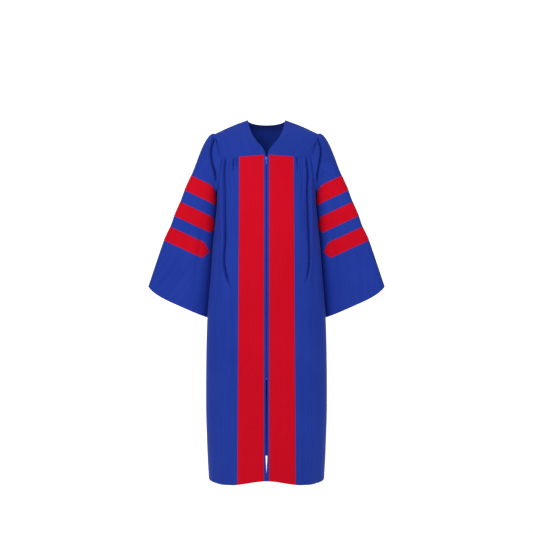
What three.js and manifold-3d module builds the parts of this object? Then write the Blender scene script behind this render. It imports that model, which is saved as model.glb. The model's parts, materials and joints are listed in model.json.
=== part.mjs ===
// Graduation gown with pointed sleeve bars, filled out and hanging.
// Sizes are in millimetres. X runs to the gown's own left, Y to its back and Z up.
// Z is 0 at the neck ends of the shoulder seams, and Y is 0 at mid depth.

import * as THREE from 'three';
import { mergeVertices } from 'three/addons/utils/BufferGeometryUtils.js';
import Module from 'manifold-3d';

const wasm = await Module();
wasm.setup();

// Cloth walls and the gaps between sewn pieces
const CLOTH = 1.5;
const TRIM = 1.2;
const SEAM_GAP = 0.3;
const TRIM_GAP = 0.35;
const BAR_GAP = 0.55;
const UNDERARM_LAP = 2.0;

// Shoulder, neck and yoke
const NECK_POINT = { x: 69, y: 10, z: 0 };
const SHOULDER_TIP = { x: 187, y: 4, z: -51 };
const BACK_NECK = { y: 64, z: -9 };
const YOKE_ROWS = 6;
const SHOULDER_RISE = 2.5;
const BACK_BULGE = 14;
const V_EDGE = [
  NECK_POINT,
  { x: 55, y: -45, z: -54 },
  { x: 38, y: -78, z: -86 },
  { x: 21.5, y: -97, z: -108 },
  { x: 9, y: -108, z: -126 },
];
const FRONT_ARMHOLE = [
  SHOULDER_TIP,
  { x: 186, y: -30, z: -62 },
  { x: 168, y: -64, z: -112 },
];
const BACK_ARMHOLE = [
  SHOULDER_TIP,
  { x: 186, y: 36, z: -64 },
  { x: 170, y: 66, z: -112 },
];

// Front and back seams of the yoke, and the armhole below them
const FRONT_SEAM = [
  { x: 0, z: -145 },
  { x: 95, z: -151 },
  { x: 156, z: -150 },
];
const BACK_SEAM_Z = -154;
const CORNER_X = 156;
const ARMHOLE_DROP = 115;
const ARMHOLE_STEPS = 5;
const ARMHOLE_POWER = 3;
// Share of the armhole below the yoke where the sleeve meets the body edge to edge
const ARMHOLE_SEWN = 0.5;

// Body sections from the yoke to the hem, at mid depth and at the middle
const ROUNDING = 0.8;
const BODY = [
  { z: -140, half: 188, front: 118, back: 114 },
  { z: -210, half: 183, front: 121, back: 124 },
  { z: -300, half: 180, front: 124, back: 129 },
  { z: -370, half: 186, front: 124, back: 129 },
  { z: -440, half: 193, front: 124, back: 127 },
  { z: -560, half: 202, front: 127, back: 131 },
  { z: -726, half: 215, front: 133, back: 146 },
  { z: -1025, half: 219, front: 147, back: 174 },
  { z: -1200, half: 214, front: 155, back: 190 },
  { z: -1300, half: 209, front: 160, back: 199 },
];
// The hem is level at the sides and rises in the middle of the front and the back
const HEM = { level: -1300, frontRise: 24, backRise: 27, width: 101 };
const BODY_ROWS = [0, 0.015, 0.045, 0.095, 0.17, 0.27, 0.39, 0.52, 0.66, 0.81, 0.955, 0.975, 1];

// Zip, its facings and the red bands beside them
const CHAIN_HALF = 2.9;
const FACING_INNER = 3.3;
const FACING_OUTER = 9.3;
const FACING_MEET = 0.45;
const MEET_FROM = 0.965;
const BAND_TOP = 95;
const BAND_HEM = 100.5;
const BAND_STEPS = 3;
const CHAIN = { top: -157, bottom: -922, rows: 9, thick: 1.6 };
const STOP = { height: 4.5, thick: 2.2, corner: 0.8, gap: 0.3 };

// Front cloth: a row for each fold, pressed in by its depth
const GATHER_STEPS = 5;
const FRONT_FOLDS = [
  { xTop: 150, xLow: 127, from: -156, to: -640, depth: 9, width: 9 },
  { xTop: 112, xLow: 110, from: -154, to: -205, depth: 2.5, width: 5 },
  { xTop: 129, xLow: 123, from: -154, to: -250, depth: 3.5, width: 6 },
  { xTop: 186, xLow: 178, from: -560, to: -1340, depth: 5, width: 20 },
  { xTop: 128, xLow: 136, from: -700, to: -1340, depth: 3.5, width: 16 },
  { xTop: 160, xLow: 158, from: -330, to: -700, depth: 4, width: 9 },
];
const FOLD_ONSET = 0.12;
const FOLD_FADE = 0.75;
const SIDE_CALM = 0.2;

// Back cloth: flutes that start at the yoke seam and open to the hem
const BACK_STEPS = 12;
const BACK_FOLDS = [
  { across: -0.66, drift: -0.06, depth: 13, width: 0.055 },
  { across: -0.5, drift: -0.03, depth: 16, width: 0.05 },
  { across: -0.34, drift: -0.04, depth: 12, width: 0.045 },
  { across: -0.18, drift: -0.01, depth: 18, width: 0.05 },
  { across: -0.03, drift: 0.01, depth: 13, width: 0.042 },
  { across: 0.13, drift: 0.02, depth: 17, width: 0.05 },
  { across: 0.29, drift: 0.02, depth: 12, width: 0.045 },
  { across: 0.45, drift: 0.05, depth: 17, width: 0.052 },
  { across: 0.62, drift: 0.05, depth: 14, width: 0.055 },
];
const BACK_GROWTH = { onset: 170, share: 0.55, from: 200, to: 1000 };

// Sleeve rings below the gathered head, from the first bar to the cuff.
// Out is the outer edge, in the inner edge beside the body.
const SLEEVE_RINGS = [
  { outX: 273, outZ: -209, slope: 25, inY: 24, inZ: -283, front: 70, back: 62, rise: 0 },
  { outX: 297, outZ: -261, slope: 25, inY: 34, inZ: -325, front: 66, back: 64, rise: 0 },
  { outX: 313, outZ: -302, slope: 25, inY: 40, inZ: -365, front: 62, back: 65, rise: 0 },
  { outX: 335, outZ: -352, slope: 25, inY: 44, inZ: -419, front: 58, back: 66, rise: 0 },
  { outX: 349, outZ: -391, slope: 25, inY: 46, inZ: -462, front: 55, back: 66, rise: 0 },
  { outX: 372, outZ: -440, slope: 25, inY: 48, inZ: -520, front: 53, back: 67, rise: 0 },
  { outX: 400, outZ: -520, slope: 24, inY: 50, inZ: -618, front: 52, back: 70, rise: 8 },
  { outX: 429, outZ: -607, slope: 23.5, inY: 52, inZ: -726, front: 54, back: 74, rise: 24 },
];
const SLEEVE_ROUNDING = { front: 0.7, back: 0.88 };
const SLEEVE_CLEAR = 5;
const CORNER_TURN = 96;
const INNER_DIP_POWER = 4;
const HEAD_ROWS = [0.1, 0.24, 0.42, 0.7];
const HEAD_LEAVE = 0.63;
const HEAD_ARRIVE = 1.05;

// Directions in which the sleeve leaves the armhole, by degrees round the ring
const HEAD_TANGENTS = [
  { turn: 0, x: 0.96, y: 0, z: 0.26 },
  { turn: CORNER_TURN, x: 0.85, y: 0.4, z: -0.35 },
  { turn: 180, x: 0.35, y: 0.1, z: -0.93 },
  { turn: 360 - CORNER_TURN, x: 0.85, y: -0.42, z: -0.33 },
  { turn: 360, x: 0.96, y: 0, z: 0.26 },
];

// Gathers of the sleeve head, a row for each fold, by degrees round the ring
const HEAD_FOLDS = [
  { turn: 352, depth: 4, width: 6, reach: 0.5 },
  { turn: 336, depth: 6, width: 7, reach: 0.8 },
  { turn: 315, depth: 10, width: 8, reach: 1.3 },
  { turn: 292, depth: 5, width: 8, reach: 0.9 },
  { turn: 16, depth: 5, width: 7, reach: 0.6 },
  { turn: 36, depth: 8, width: 8, reach: 1.1 },
  { turn: 58, depth: 5, width: 7, reach: 0.8 },
  { turn: 80, depth: 4, width: 7, reach: 0.5 },
];
// Point, inside the sleeve and below each gather, that the gathers are pressed towards
const HEAD_AIM = { inside: 40, below: 40 };
const HEAD_FADE = 0.5;

// Pointed bars: three a sleeve, each between two sleeve rings, and how far each reaches
// round the sleeve from its outer fold to its tips
const BARS = [
  { ring: 0, front: 190, back: 176 },
  { ring: 2, front: 204, back: 202 },
  { ring: 4, front: 202, back: 202 },
];
const BAR_POINT = 26;
const BAR_TIP_SHARE = 0.04;

// Zip slider, its bridge and the pull tab
const SLIDER = { z: -158, width: 8, length: 12, corner: 1.6, plate: 1.3, gap: 0.35 };
const POST = { width: 2.4, length: 2.6, down: 4.6 };
const BRIDGE = { inner: 1.15, outer: 2.15, width: 1.6, arcSteps: 10 };
const TAB = { width: 5.2, length: 22, corner: 1.5, thick: 1, eyeWidth: 2.8, eyeEnd: 2.6, lift: 0.95 };
const CORNER_STEPS = 3;

// Colours of the cloths and the zip
const BLUE = { color: 0x1f3fa6, roughness: 0.8, metalness: 0 };
const RED = { color: 0xd3091f, roughness: 0.8, metalness: 0 };
const ZIP_BLUE = { color: 0x1b3391, roughness: 0.6, metalness: 0 };
const ZIP_METAL = { color: 0x2f4fc4, roughness: 0.35, metalness: 0.6 };

const FRONT = -1;
const BACK = 1;
const QUARTER = Math.PI / 2;
// Places to a millimetre by which points on one seam find each other
const KEYS_PER_MM = 20;
const MERGE_REACH = 1e-3;
const vec = (p) => new THREE.Vector3(p.x, p.y, p.z);
const radians = THREE.MathUtils.degToRad;

// Smooth value of one column of a table whose rows are ordered by a key column
function lookup(table, key, at, column) {
  const last = table.length - 1;
  const rising = table[last][key] > table[0][key];
  const past = (row) => (rising ? row[key] >= at : row[key] <= at);
  const next = THREE.MathUtils.clamp(table.findIndex(past), 1, last);
  const high = past(table[last]) ? next : last;
  const slope = (i) => {
    const a = table[Math.max(i - 1, 0)];
    const b = table[Math.min(i + 1, last)];
    return (b[column] - a[column]) / (b[key] - a[key]);
  };
  const from = table[high - 1];
  const to = table[high];
  const span = to[key] - from[key];
  const t = THREE.MathUtils.clamp((at - from[key]) / span, 0, 1);
  const startShare = (1 + 2 * t) * (1 - t) ** 2;
  const bend = t * (1 - t) ** 2 * slope(high - 1) - t ** 2 * (1 - t) * slope(high);
  return from[column] * startShare + to[column] * (1 - startShare) + span * bend;
}

const ease = (from, to, at) => THREE.MathUtils.smoothstep((at - from) / (to - from), 0, 1);
const bell = (offset, width) => Math.exp(-((offset / width) ** 2));

// One point of the body, at a height and a turn from the side (0) to the middle
function bodyPoint(z, turn, face) {
  const half = lookup(BODY, 'z', z, 'half');
  const depth = lookup(BODY, 'z', z, face === FRONT ? 'front' : 'back');
  const x = half * Math.max(Math.cos(turn), 0) ** ROUNDING;
  const y = face * depth * Math.max(Math.sin(turn), 0) ** ROUNDING;
  return new THREE.Vector3(x, y, z);
}

// Level direction straight out of the body at a point
function outOfBody(point, face) {
  const half = lookup(BODY, 'z', point.z, 'half');
  const depth = lookup(BODY, 'z', point.z, face === FRONT ? 'front' : 'back');
  const power = 2 / ROUNDING - 1;
  const x = Math.sign(point.x) * (Math.abs(point.x) / half) ** power / half;
  const y = Math.sign(point.y) * (Math.abs(point.y) / depth) ** power / depth;
  return new THREE.Vector3(x, y, 0).normalize();
}

const turnAtX = (z, x) => Math.acos((x / lookup(BODY, 'z', z, 'half')) ** (1 / ROUNDING));

// Top of a body column on the armhole, below the corner of the yoke
const armholeZ = (seamZ, share) => seamZ - ARMHOLE_DROP * (1 - (1 - share) ** ARMHOLE_POWER);

function hemZ(point) {
  const rise = point.y < 0 ? HEM.frontRise : HEM.backRise;
  return HEM.level + rise * bell(point.x, HEM.width);
}

function pressFront(point, sideShare) {
  let depth = 0;
  for (const fold of FRONT_FOLDS) {
    const along = THREE.MathUtils.clamp((point.z - fold.from) / (fold.to - fold.from), 0, 1);
    const middle = THREE.MathUtils.lerp(fold.xTop, fold.xLow, along);
    const end = fold.to < HEM.level ? 1 : 1 - ease(FOLD_FADE, 1, along);
    depth += fold.depth * ease(0, FOLD_ONSET, along) * end * bell(point.x - middle, fold.width);
  }
  const atSide = ease(0, SIDE_CALM, sideShare);
  return point.addScaledVector(outOfBody(point, FRONT), -depth * atSide);
}

function pressBack(point, across) {
  const fall = BACK_SEAM_Z - point.z;
  let depth = 0;
  for (const fold of BACK_FOLDS) {
    const middle = fold.across + fold.drift * fall / 1000;
    depth += fold.depth * bell(across - middle, fold.width);
  }
  const { onset, share, from, to } = BACK_GROWTH;
  const grown = ease(0, onset, fall) * (share + (1 - share) * ease(from, to, fall));
  const atSide = ease(0, SIDE_CALM, 1 - Math.abs(across));
  return point.addScaledVector(outOfBody(point, BACK), -depth * grown * atSide);
}

// Columns of one front, from the zip to the side seam.
// Those up to the corner start on the yoke seam, and the others on the armhole.
function frontColumns() {
  const columns = [];
  for (let i = 0; i <= BAND_STEPS; i += 1) {
    columns.push({ band: i / BAND_STEPS });
  }
  const bandTurn = turnAtX(FRONT_SEAM[1].z, BAND_TOP);
  const cornerShare = 1 - turnAtX(FRONT_SEAM[2].z, CORNER_X) / bandTurn;
  for (let i = 1; i <= GATHER_STEPS * 2; i += 1) {
    columns.push({ out: (cornerShare * i) / (GATHER_STEPS * 2), between: i % 2 === 1 });
  }
  for (let i = 1; i <= ARMHOLE_STEPS; i += 1) {
    const share = i / ARMHOLE_STEPS;
    columns.push({ out: cornerShare + (1 - cornerShare) * share, armhole: share });
  }
  return columns;
}

// Distance of a red band's column from the middle
const bandX = (z, share) => {
  const fall = (FRONT_SEAM[0].z - z) / (FRONT_SEAM[0].z - HEM.level);
  const outer = THREE.MathUtils.lerp(BAND_TOP, BAND_HEM, THREE.MathUtils.clamp(fall, 0, 1));
  return THREE.MathUtils.lerp(FACING_OUTER, outer, share);
};

function frontTurn(column, z) {
  if (column.x !== undefined) {
    return turnAtX(z, column.x);
  }
  if (column.band !== undefined) {
    return turnAtX(z, bandX(z, column.band));
  }
  return turnAtX(z, bandX(z, 1)) * (1 - column.out);
}

function frontTop(column) {
  if (column.armhole) {
    return armholeZ(FRONT_SEAM[2].z, column.armhole);
  }
  const guess = bodyPoint(FRONT_SEAM[1].z, frontTurn(column, FRONT_SEAM[1].z), FRONT);
  return lookup(FRONT_SEAM, 'x', guess.x, 'z');
}

function frontPoint(column, share) {
  const top = frontTop(column);
  const low = bodyPoint(HEM.level, frontTurn(column, HEM.level), FRONT);
  const z = THREE.MathUtils.lerp(top, hemZ(low), share);
  const turn = frontTurn(column, z);
  const point = bodyPoint(z, turn, FRONT);
  if (share === 0) {
    return point;
  }
  return pressFront(point, turn / QUARTER);
}

// Puts each point that lies between two seam points on the straight line between them
function straightenTop(row, columns) {
  columns.forEach((column, c) => {
    if (column.between) {
      row[c] = row[c - 1].clone().add(row[(c + 1) % row.length]).multiplyScalar(0.5);
    }
  });
}

// Columns of the whole back, from the left side seam to the right one
function backColumns() {
  const corner = turnAtX(BACK_SEAM_Z, CORNER_X);
  const half = [];
  for (let i = ARMHOLE_STEPS; i >= 1; i -= 1) {
    const share = i / ARMHOLE_STEPS;
    half.push({ turn: corner * (1 - share), armhole: share });
  }
  const steps = BACK_STEPS * 2;
  for (let i = 0; i < steps; i += 1) {
    const turn = corner + ((QUARTER - corner) * i) / steps;
    half.push({ turn, between: i % 2 === 1 });
  }
  const left = half.map((column) => ({ ...column, side: 1 }));
  const right = half.map((column) => ({ ...column, side: -1 })).reverse();
  return [...left, { turn: QUARTER, side: 1 }, ...right];
}

function backPoint(column, share) {
  const top = column.armhole ? armholeZ(BACK_SEAM_Z, column.armhole) : BACK_SEAM_Z;
  const low = bodyPoint(HEM.level, column.turn, BACK);
  const z = THREE.MathUtils.lerp(top, hemZ(low), share);
  const point = bodyPoint(z, column.turn, BACK);
  point.x *= column.side;
  if (share === 0) {
    return point;
  }
  return pressBack(point, column.side * (1 - column.turn / QUARTER));
}

// Curve through table rows and a last point
function edgeCurve(rows, end) {
  const points = rows.map(vec);
  if (end) {
    points.push(end);
  }
  return new THREE.CatmullRomCurve3(points, false, 'centripetal');
}

// Surface between four edges: top and bottom by column, left and right by row
function patch(top, bottom, left, right) {
  const rows = left.length - 1;
  const shareAt = (edge) => {
    const far = edge.map((p, i) => (i ? p.distanceTo(edge[i - 1]) : 0));
    let run = 0;
    const runs = far.map((d) => (run += d));
    return runs.map((r) => r / run);
  };
  const topShare = shareAt(top);
  const bottomShare = shareAt(bottom);
  return left.map((leftPoint, r) => {
    const v = r / rows;
    return top.map((topPoint, c) => {
      const u = THREE.MathUtils.lerp(topShare[c], bottomShare[c], v);
      const across = topPoint.clone().lerp(bottom[c], v);
      const down = leftPoint.clone().lerp(right[r], u);
      const topLine = left[0].clone().lerp(right[0], u);
      const lowLine = left[rows].clone().lerp(right[rows], u);
      return across.add(down).sub(topLine.lerp(lowLine, v));
    });
  });
}

const FRONTS = frontColumns();
const BACKS = backColumns();
const FRONT_CORNER = BAND_STEPS + GATHER_STEPS * 2;
const SEAM_COLUMNS = FRONTS.slice(0, FRONT_CORNER + 1).filter((column) => !column.between);
const YOKE_COLUMNS = [{ x: FACING_INNER }, ...SEAM_COLUMNS];

function shoulderSeam() {
  const xs = YOKE_COLUMNS.map((column) => frontPoint(column, 0).x);
  const first = xs[0];
  const span = xs[xs.length - 1] - first;
  return xs.map((x) => {
    const share = (x - first) / span;
    const point = vec(NECK_POINT).lerp(vec(SHOULDER_TIP), share);
    point.z += SHOULDER_RISE * Math.sin(Math.PI * share);
    return point;
  });
}

function rowsOf(curve) {
  return Array.from({ length: YOKE_ROWS + 1 }, (_, i) => curve.getPointAt(i / YOKE_ROWS));
}

function frontYokeGrid() {
  const bottom = YOKE_COLUMNS.map((column) => frontPoint(column, 0));
  const neck = rowsOf(edgeCurve(V_EDGE, bottom[0]));
  const armhole = rowsOf(edgeCurve(FRONT_ARMHOLE, bottom[bottom.length - 1]));
  return patch(shoulderSeam(), bottom, neck, armhole);
}

// Back neck from one neck point to the middle, as a quarter of an oval
function backNeck() {
  const steps = BACK_STEPS - (YOKE_COLUMNS.length - 1);
  const points = [];
  for (let i = 1; i <= steps; i += 1) {
    const turn = QUARTER * (i / steps);
    const reach = Math.sin(turn);
    points.push(new THREE.Vector3(
      NECK_POINT.x * Math.cos(turn),
      THREE.MathUtils.lerp(NECK_POINT.y, BACK_NECK.y, reach),
      THREE.MathUtils.lerp(NECK_POINT.z, BACK_NECK.z, reach),
    ));
  }
  return points;
}

const mirrored = (p) => new THREE.Vector3(-p.x, p.y, p.z);

function backYokeGrid() {
  const seam = BACKS.filter((column) => !column.between && !column.armhole && column.side > 0);
  const bottom = seam.map((column) => backPoint(column, 0));
  const top = [...shoulderSeam().reverse(), ...backNeck()];
  const armhole = rowsOf(edgeCurve(BACK_ARMHOLE, bottom[0]));
  const middleTop = top[top.length - 1];
  const middleLow = bottom[bottom.length - 1];
  const bulge = middleTop.clone().lerp(middleLow, 0.5);
  bulge.y += BACK_BULGE;
  const middle = rowsOf(new THREE.CatmullRomCurve3([middleTop, bulge, middleLow]));
  return patch(top, bottom, armhole, middle).map((row) => {
    const other = row.slice(0, -1).map(mirrored).reverse();
    return [...row, ...other];
  });
}

const flip = (grid) => grid.map((row) => row.map(mirrored).reverse());

function frontGrid() {
  const grid = BODY_ROWS.map((share) => FRONTS.map((column) => frontPoint(column, share)));
  straightenTop(grid[0], FRONTS);
  return grid;
}

function backGrid() {
  const grid = BODY_ROWS.map((share) => BACKS.map((column) => backPoint(column, share)));
  straightenTop(grid[0], BACKS);
  return grid;
}

// The facing follows the first column of its front, and meets its pair at the hem
function facingGrid() {
  return BODY_ROWS.map((share) => {
    const x = share > MEET_FROM ? FACING_MEET : FACING_INNER;
    const outer = frontPoint(FRONTS[0], share);
    return [frontPoint({ x }, share), outer];
  });
}

// Ring of the sleeve at the armhole: over the back, under the arm and up the front.
// A point between two seam points has no partner on the body.
function armholeRing() {
  const ring = [];
  const frontYoke = frontYokeGrid();
  const backYoke = backYokeGrid();
  const frontEdge = frontYoke.map((row) => row[row.length - 1]);
  const backEdge = backYoke.map((row) => row[0]);
  const refine = (edge) => {
    edge.slice(0, -1).forEach((point, i) => {
      ring.push({ point, sewn: true });
      ring.push({ point: point.clone().lerp(edge[i + 1], 0.5), sewn: true, between: true });
    });
  };
  const lapped = (point, share, face) => {
    const sewn = share <= ARMHOLE_SEWN;
    const lap = sewn ? 0 : UNDERARM_LAP;
    ring.push({ point: point.addScaledVector(outOfBody(point, face), lap), sewn });
  };
  refine(backEdge);
  ring.push({ point: backEdge[YOKE_ROWS], sewn: true });
  for (let i = 1; i <= ARMHOLE_STEPS; i += 1) {
    const share = i / ARMHOLE_STEPS;
    const column = BACKS.find((c) => c.armhole === share);
    lapped(backPoint(column, 0), share, BACK);
  }
  for (let i = ARMHOLE_STEPS - 1; i >= 1; i -= 1) {
    const share = i / ARMHOLE_STEPS;
    const column = FRONTS.find((c) => c.armhole === share);
    lapped(frontPoint(column, 0), share, FRONT);
  }
  refine([...frontEdge].reverse());
  return ring;
}

// Degrees round the sleeve of each ring point, from the shoulder over the back
function ringTurns() {
  const turns = [];
  const cap = YOKE_ROWS * 2;
  for (let i = 0; i < cap; i += 1) {
    turns.push((CORNER_TURN * i) / cap);
  }
  for (let i = 0; i <= ARMHOLE_STEPS * 2; i += 1) {
    turns.push(CORNER_TURN + ((360 - 2 * CORNER_TURN) * i) / (ARMHOLE_STEPS * 2));
  }
  for (let i = 1; i < cap; i += 1) {
    turns.push(360 - CORNER_TURN + (CORNER_TURN * i) / cap);
  }
  return turns;
}

const power = (value, exponent) => Math.sign(value) * Math.abs(value) ** exponent;

// One point of a sleeve ring; back is turn 0 to 180, front is turn 180 to 360
function sleevePoint(ring, degrees) {
  const cosine = Math.cos(radians(degrees));
  const sine = Math.sin(radians(degrees));
  const backDepth = lookup(BODY, 'z', ring.inZ, 'back');
  const half = lookup(BODY, 'z', ring.inZ, 'half');
  const bodyX = half * (1 - (ring.inY / backDepth) ** (2 / ROUNDING)) ** (ROUNDING / 2);
  const inX = bodyX + SLEEVE_CLEAR;
  const face = sine > 0 ? 'back' : 'front';
  const rounding = SLEEVE_ROUNDING[face];
  const x = (ring.outX + inX) / 2 + ((ring.outX - inX) / 2) * power(cosine, rounding);
  const inward = (1 - cosine) / 2;
  const y = ring.inY * inward + ring[face] * power(sine, rounding);
  const fall = Math.tan(radians(ring.slope));
  const low = ring.outZ - ring.rise;
  const dip = ring.inZ - (low - fall * (ring.outX - inX));
  const rise = ring.rise * (1 - inward) ** INNER_DIP_POWER;
  const z = low - fall * (ring.outX - x) + rise + dip * inward ** INNER_DIP_POWER;
  return new THREE.Vector3(x, y, z);
}

function headFold(degrees, reach) {
  let depth = 0;
  for (const fold of HEAD_FOLDS) {
    const away = Math.abs(((degrees - fold.turn + 540) % 360) - 180);
    const fade = ease(0, FOLD_ONSET, reach) * (1 - ease(fold.reach * HEAD_FADE, fold.reach, reach));
    depth += fold.depth * fade * bell(away, fold.width);
  }
  return depth;
}

// Sleeve rows: the armhole, the gathered head, then the rings with a row between
// the two edges of each bar
function sleeveGrid() {
  const turns = ringTurns();
  const seam = armholeRing();
  const rings = SLEEVE_RINGS.map((ring) => turns.map((degrees) => sleevePoint(ring, degrees)));
  const centre = new THREE.Vector3();
  rings[0].forEach((p) => centre.addScaledVector(p, 1 / rings[0].length));
  const head = HEAD_ROWS.map((t) => turns.map((degrees, k) => {
    const start = seam[k].point;
    const end = rings[0][k];
    const chord = start.distanceTo(end);
    const leave = new THREE.Vector3(
      lookup(HEAD_TANGENTS, 'turn', degrees, 'x'),
      lookup(HEAD_TANGENTS, 'turn', degrees, 'y'),
      lookup(HEAD_TANGENTS, 'turn', degrees, 'z'),
    ).normalize().multiplyScalar(HEAD_LEAVE * chord);
    const arrive = rings[1][k].clone().sub(end).normalize().multiplyScalar(HEAD_ARRIVE * chord);
    const point = start.clone().multiplyScalar((1 + 2 * t) * (1 - t) ** 2);
    point.addScaledVector(leave, t * (1 - t) ** 2);
    point.addScaledVector(end, t * t * (3 - 2 * t));
    point.addScaledVector(arrive, -t * t * (1 - t));
    const aim = new THREE.Vector3(centre.x - HEAD_AIM.inside, 0, point.z - HEAD_AIM.below);
    return point.addScaledVector(aim.sub(point).normalize(), headFold(degrees, t));
  }));
  const grid = [seam.map((s) => s.point), ...head];
  rings.forEach((ring, i) => {
    grid.push(ring);
    if (BARS.some((bar) => bar.ring === i)) {
      grid.push(ring.map((p, k) => p.clone().lerp(rings[i + 1][k], 0.5)));
    }
  });
  return { grid, seam };
}

// Normals out of the cloth, from the neighbours of each grid point
function gridNormals(grid, wraps) {
  const rows = grid.length;
  const columns = grid[0].length;
  return grid.map((row, r) => row.map((_, c) => {
    const above = grid[Math.max(r - 1, 0)][c];
    const below = grid[Math.min(r + 1, rows - 1)][c];
    const before = wraps ? row[(c + columns - 1) % columns] : row[Math.max(c - 1, 0)];
    const after = wraps ? row[(c + 1) % columns] : row[Math.min(c + 1, columns - 1)];
    const down = below.clone().sub(above);
    return down.cross(after.clone().sub(before)).normalize();
  }));
}

// Sewn pieces share the normals of the points on their seams, so their edges face
// each other squarely
const seamNormals = new Map();
const seamKey = (p) => p.toArray().map((value) => Math.round(value * KEYS_PER_MM)).join();

function cloth(name, grid, options = {}) {
  const piece = { name, grid, wraps: false, sewn: () => false, between: () => false, ...options };
  piece.normals = gridNormals(grid, piece.wraps);
  grid.forEach((row, r) => row.forEach((point, c) => {
    if (piece.sewn(r, c) && !piece.between(r, c)) {
      const key = seamKey(point);
      const sum = seamNormals.get(key) ?? new THREE.Vector3();
      seamNormals.set(key, sum.add(piece.normals[r][c]));
    }
  }));
  return piece;
}

// Takes the shared normals and draws the sewn edges back by half the seam gap
function sew(piece) {
  const { grid, normals, wraps } = piece;
  const rows = grid.length;
  const columns = grid[0].length;
  const pulled = grid.map((row) => row.map((p) => p.clone()));
  // Moves an edge point inwards, along the cloth and square to the edge
  const pull = (r, c, toRow, toColumn) => {
    const alongRow = toRow !== r;
    const before = wraps ? (c + columns - 1) % columns : Math.max(c - 1, 0);
    const after = wraps ? (c + 1) % columns : Math.min(c + 1, columns - 1);
    const edge = alongRow
      ? grid[r][after].clone().sub(grid[r][before])
      : grid[Math.min(r + 1, rows - 1)][c].clone().sub(grid[Math.max(r - 1, 0)][c]);
    const inwards = grid[toRow][toColumn].clone().sub(grid[r][c]);
    const way = edge.cross(normals[r][c]).normalize();
    const turned = Math.sign(way.dot(inwards)) || 1;
    pulled[r][c].addScaledVector(way, turned * (SEAM_GAP / 2));
  };
  grid.forEach((row, r) => row.forEach((point, c) => {
    if (!piece.sewn(r, c)) {
      return;
    }
    if (!piece.between(r, c)) {
      normals[r][c] = seamNormals.get(seamKey(point)).clone().normalize();
    }
    if (r === 0) {
      pull(r, c, 1, c);
    }
    if (r === rows - 1) {
      pull(r, c, r - 1, c);
    }
    if (c === 0 && !wraps) {
      pull(r, c, r, 1);
    }
    if (c === columns - 1 && !wraps) {
      pull(r, c, r, c - 1);
    }
  }));
  grid.forEach((row, r) => row.forEach((_, c) => {
    if (piece.sewn(r, c) && piece.between(r, c)) {
      const before = normals[r][(c + columns - 1) % columns];
      normals[r][c] = before.clone().add(normals[r][(c + 1) % columns]).normalize();
    }
  }));
  piece.grid = pulled;
}

// Closed wall on a grid: an outer and an inner sheet joined by their rims
function wall(grid, normals, thickness, lift, wraps) {
  const rows = grid.length;
  const columns = grid[0].length;
  const positions = [];
  for (const side of [1, -1]) {
    grid.forEach((row, r) => row.forEach((point, c) => {
      const moved = point.clone().addScaledVector(normals[r][c], lift + (side * thickness) / 2);
      positions.push(moved.x, moved.y, moved.z);
    }));
  }
  const inner = rows * columns;
  const at = (r, c) => r * columns + (c % columns);
  const indices = [];
  const quad = (a, b, c, d) => indices.push(a, b, c, a, c, d);
  const lastColumn = wraps ? columns : columns - 1;
  for (let r = 0; r < rows - 1; r += 1) {
    for (let c = 0; c < lastColumn; c += 1) {
      quad(at(r, c), at(r + 1, c), at(r + 1, c + 1), at(r, c + 1));
      quad(inner + at(r, c), inner + at(r, c + 1), inner + at(r + 1, c + 1), inner + at(r + 1, c));
    }
    if (!wraps) {
      quad(at(r, 0), inner + at(r, 0), inner + at(r + 1, 0), at(r + 1, 0));
      const c = columns - 1;
      quad(at(r + 1, c), inner + at(r + 1, c), inner + at(r, c), at(r, c));
    }
  }
  for (let c = 0; c < lastColumn; c += 1) {
    const r = rows - 1;
    quad(at(0, c + 1), inner + at(0, c + 1), inner + at(0, c), at(0, c));
    quad(at(r, c), inner + at(r, c), inner + at(r, c + 1), at(r, c + 1));
  }
  const geometry = new THREE.BufferGeometry();
  geometry.setAttribute('position', new THREE.Float32BufferAttribute(positions, 3));
  geometry.setIndex(indices);
  geometry.computeVertexNormals();
  return geometry;
}

const gown = new THREE.Group();

function add(name, geometry, finish, parent = gown) {
  const mesh = new THREE.Mesh(geometry, new THREE.MeshStandardMaterial(finish));
  mesh.name = name;
  parent.add(mesh);
  return mesh;
}

// One side of a bar: columns from the outer fold to the tip.
// The point narrows towards the row between the two edges.
function barSide(sleeve, firstRow, direction, total) {
  const columns = sleeve.grid[0].length;
  const straight = total - BAR_POINT;
  const column = (k, share, arc) => {
    const here = (k + columns * 2) % columns;
    const next = (k + direction + columns * 2) % columns;
    const place = (r) => sleeve.grid[r][here].clone().lerp(sleeve.grid[r][next], share);
    const facing = (r) => sleeve.normals[r][here].clone().lerp(sleeve.normals[r][next], share);
    const past = Math.max(0, (arc - straight) / BAR_POINT);
    const height = Math.max(BAR_TIP_SHARE, 1 - past);
    const [top, middle, low] = [0, 1, 2].map((i) => place(firstRow + i));
    const [topOut, out, lowOut] = [0, 1, 2].map((i) => facing(firstRow + i));
    return {
      points: [middle.clone().lerp(top, height), middle, middle.clone().lerp(low, height)],
      normals: [out.clone().lerp(topOut, height), out, out.clone().lerp(lowOut, height)],
    };
  };
  const found = [];
  const middleRow = sleeve.grid[firstRow + 1];
  let walked = 0;
  for (let k = 0; walked < total; k += direction) {
    const here = middleRow[(k + columns * 2) % columns];
    const next = middleRow[(k + direction + columns * 2) % columns];
    const step = here.distanceTo(next);
    if (k !== 0) {
      found.push(column(k, 0, walked));
    }
    for (const mark of [straight, total]) {
      if (mark > walked && mark <= walked + step) {
        found.push(column(k, (mark - walked) / step, mark));
      }
    }
    walked += step;
  }
  return found;
}

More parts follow.
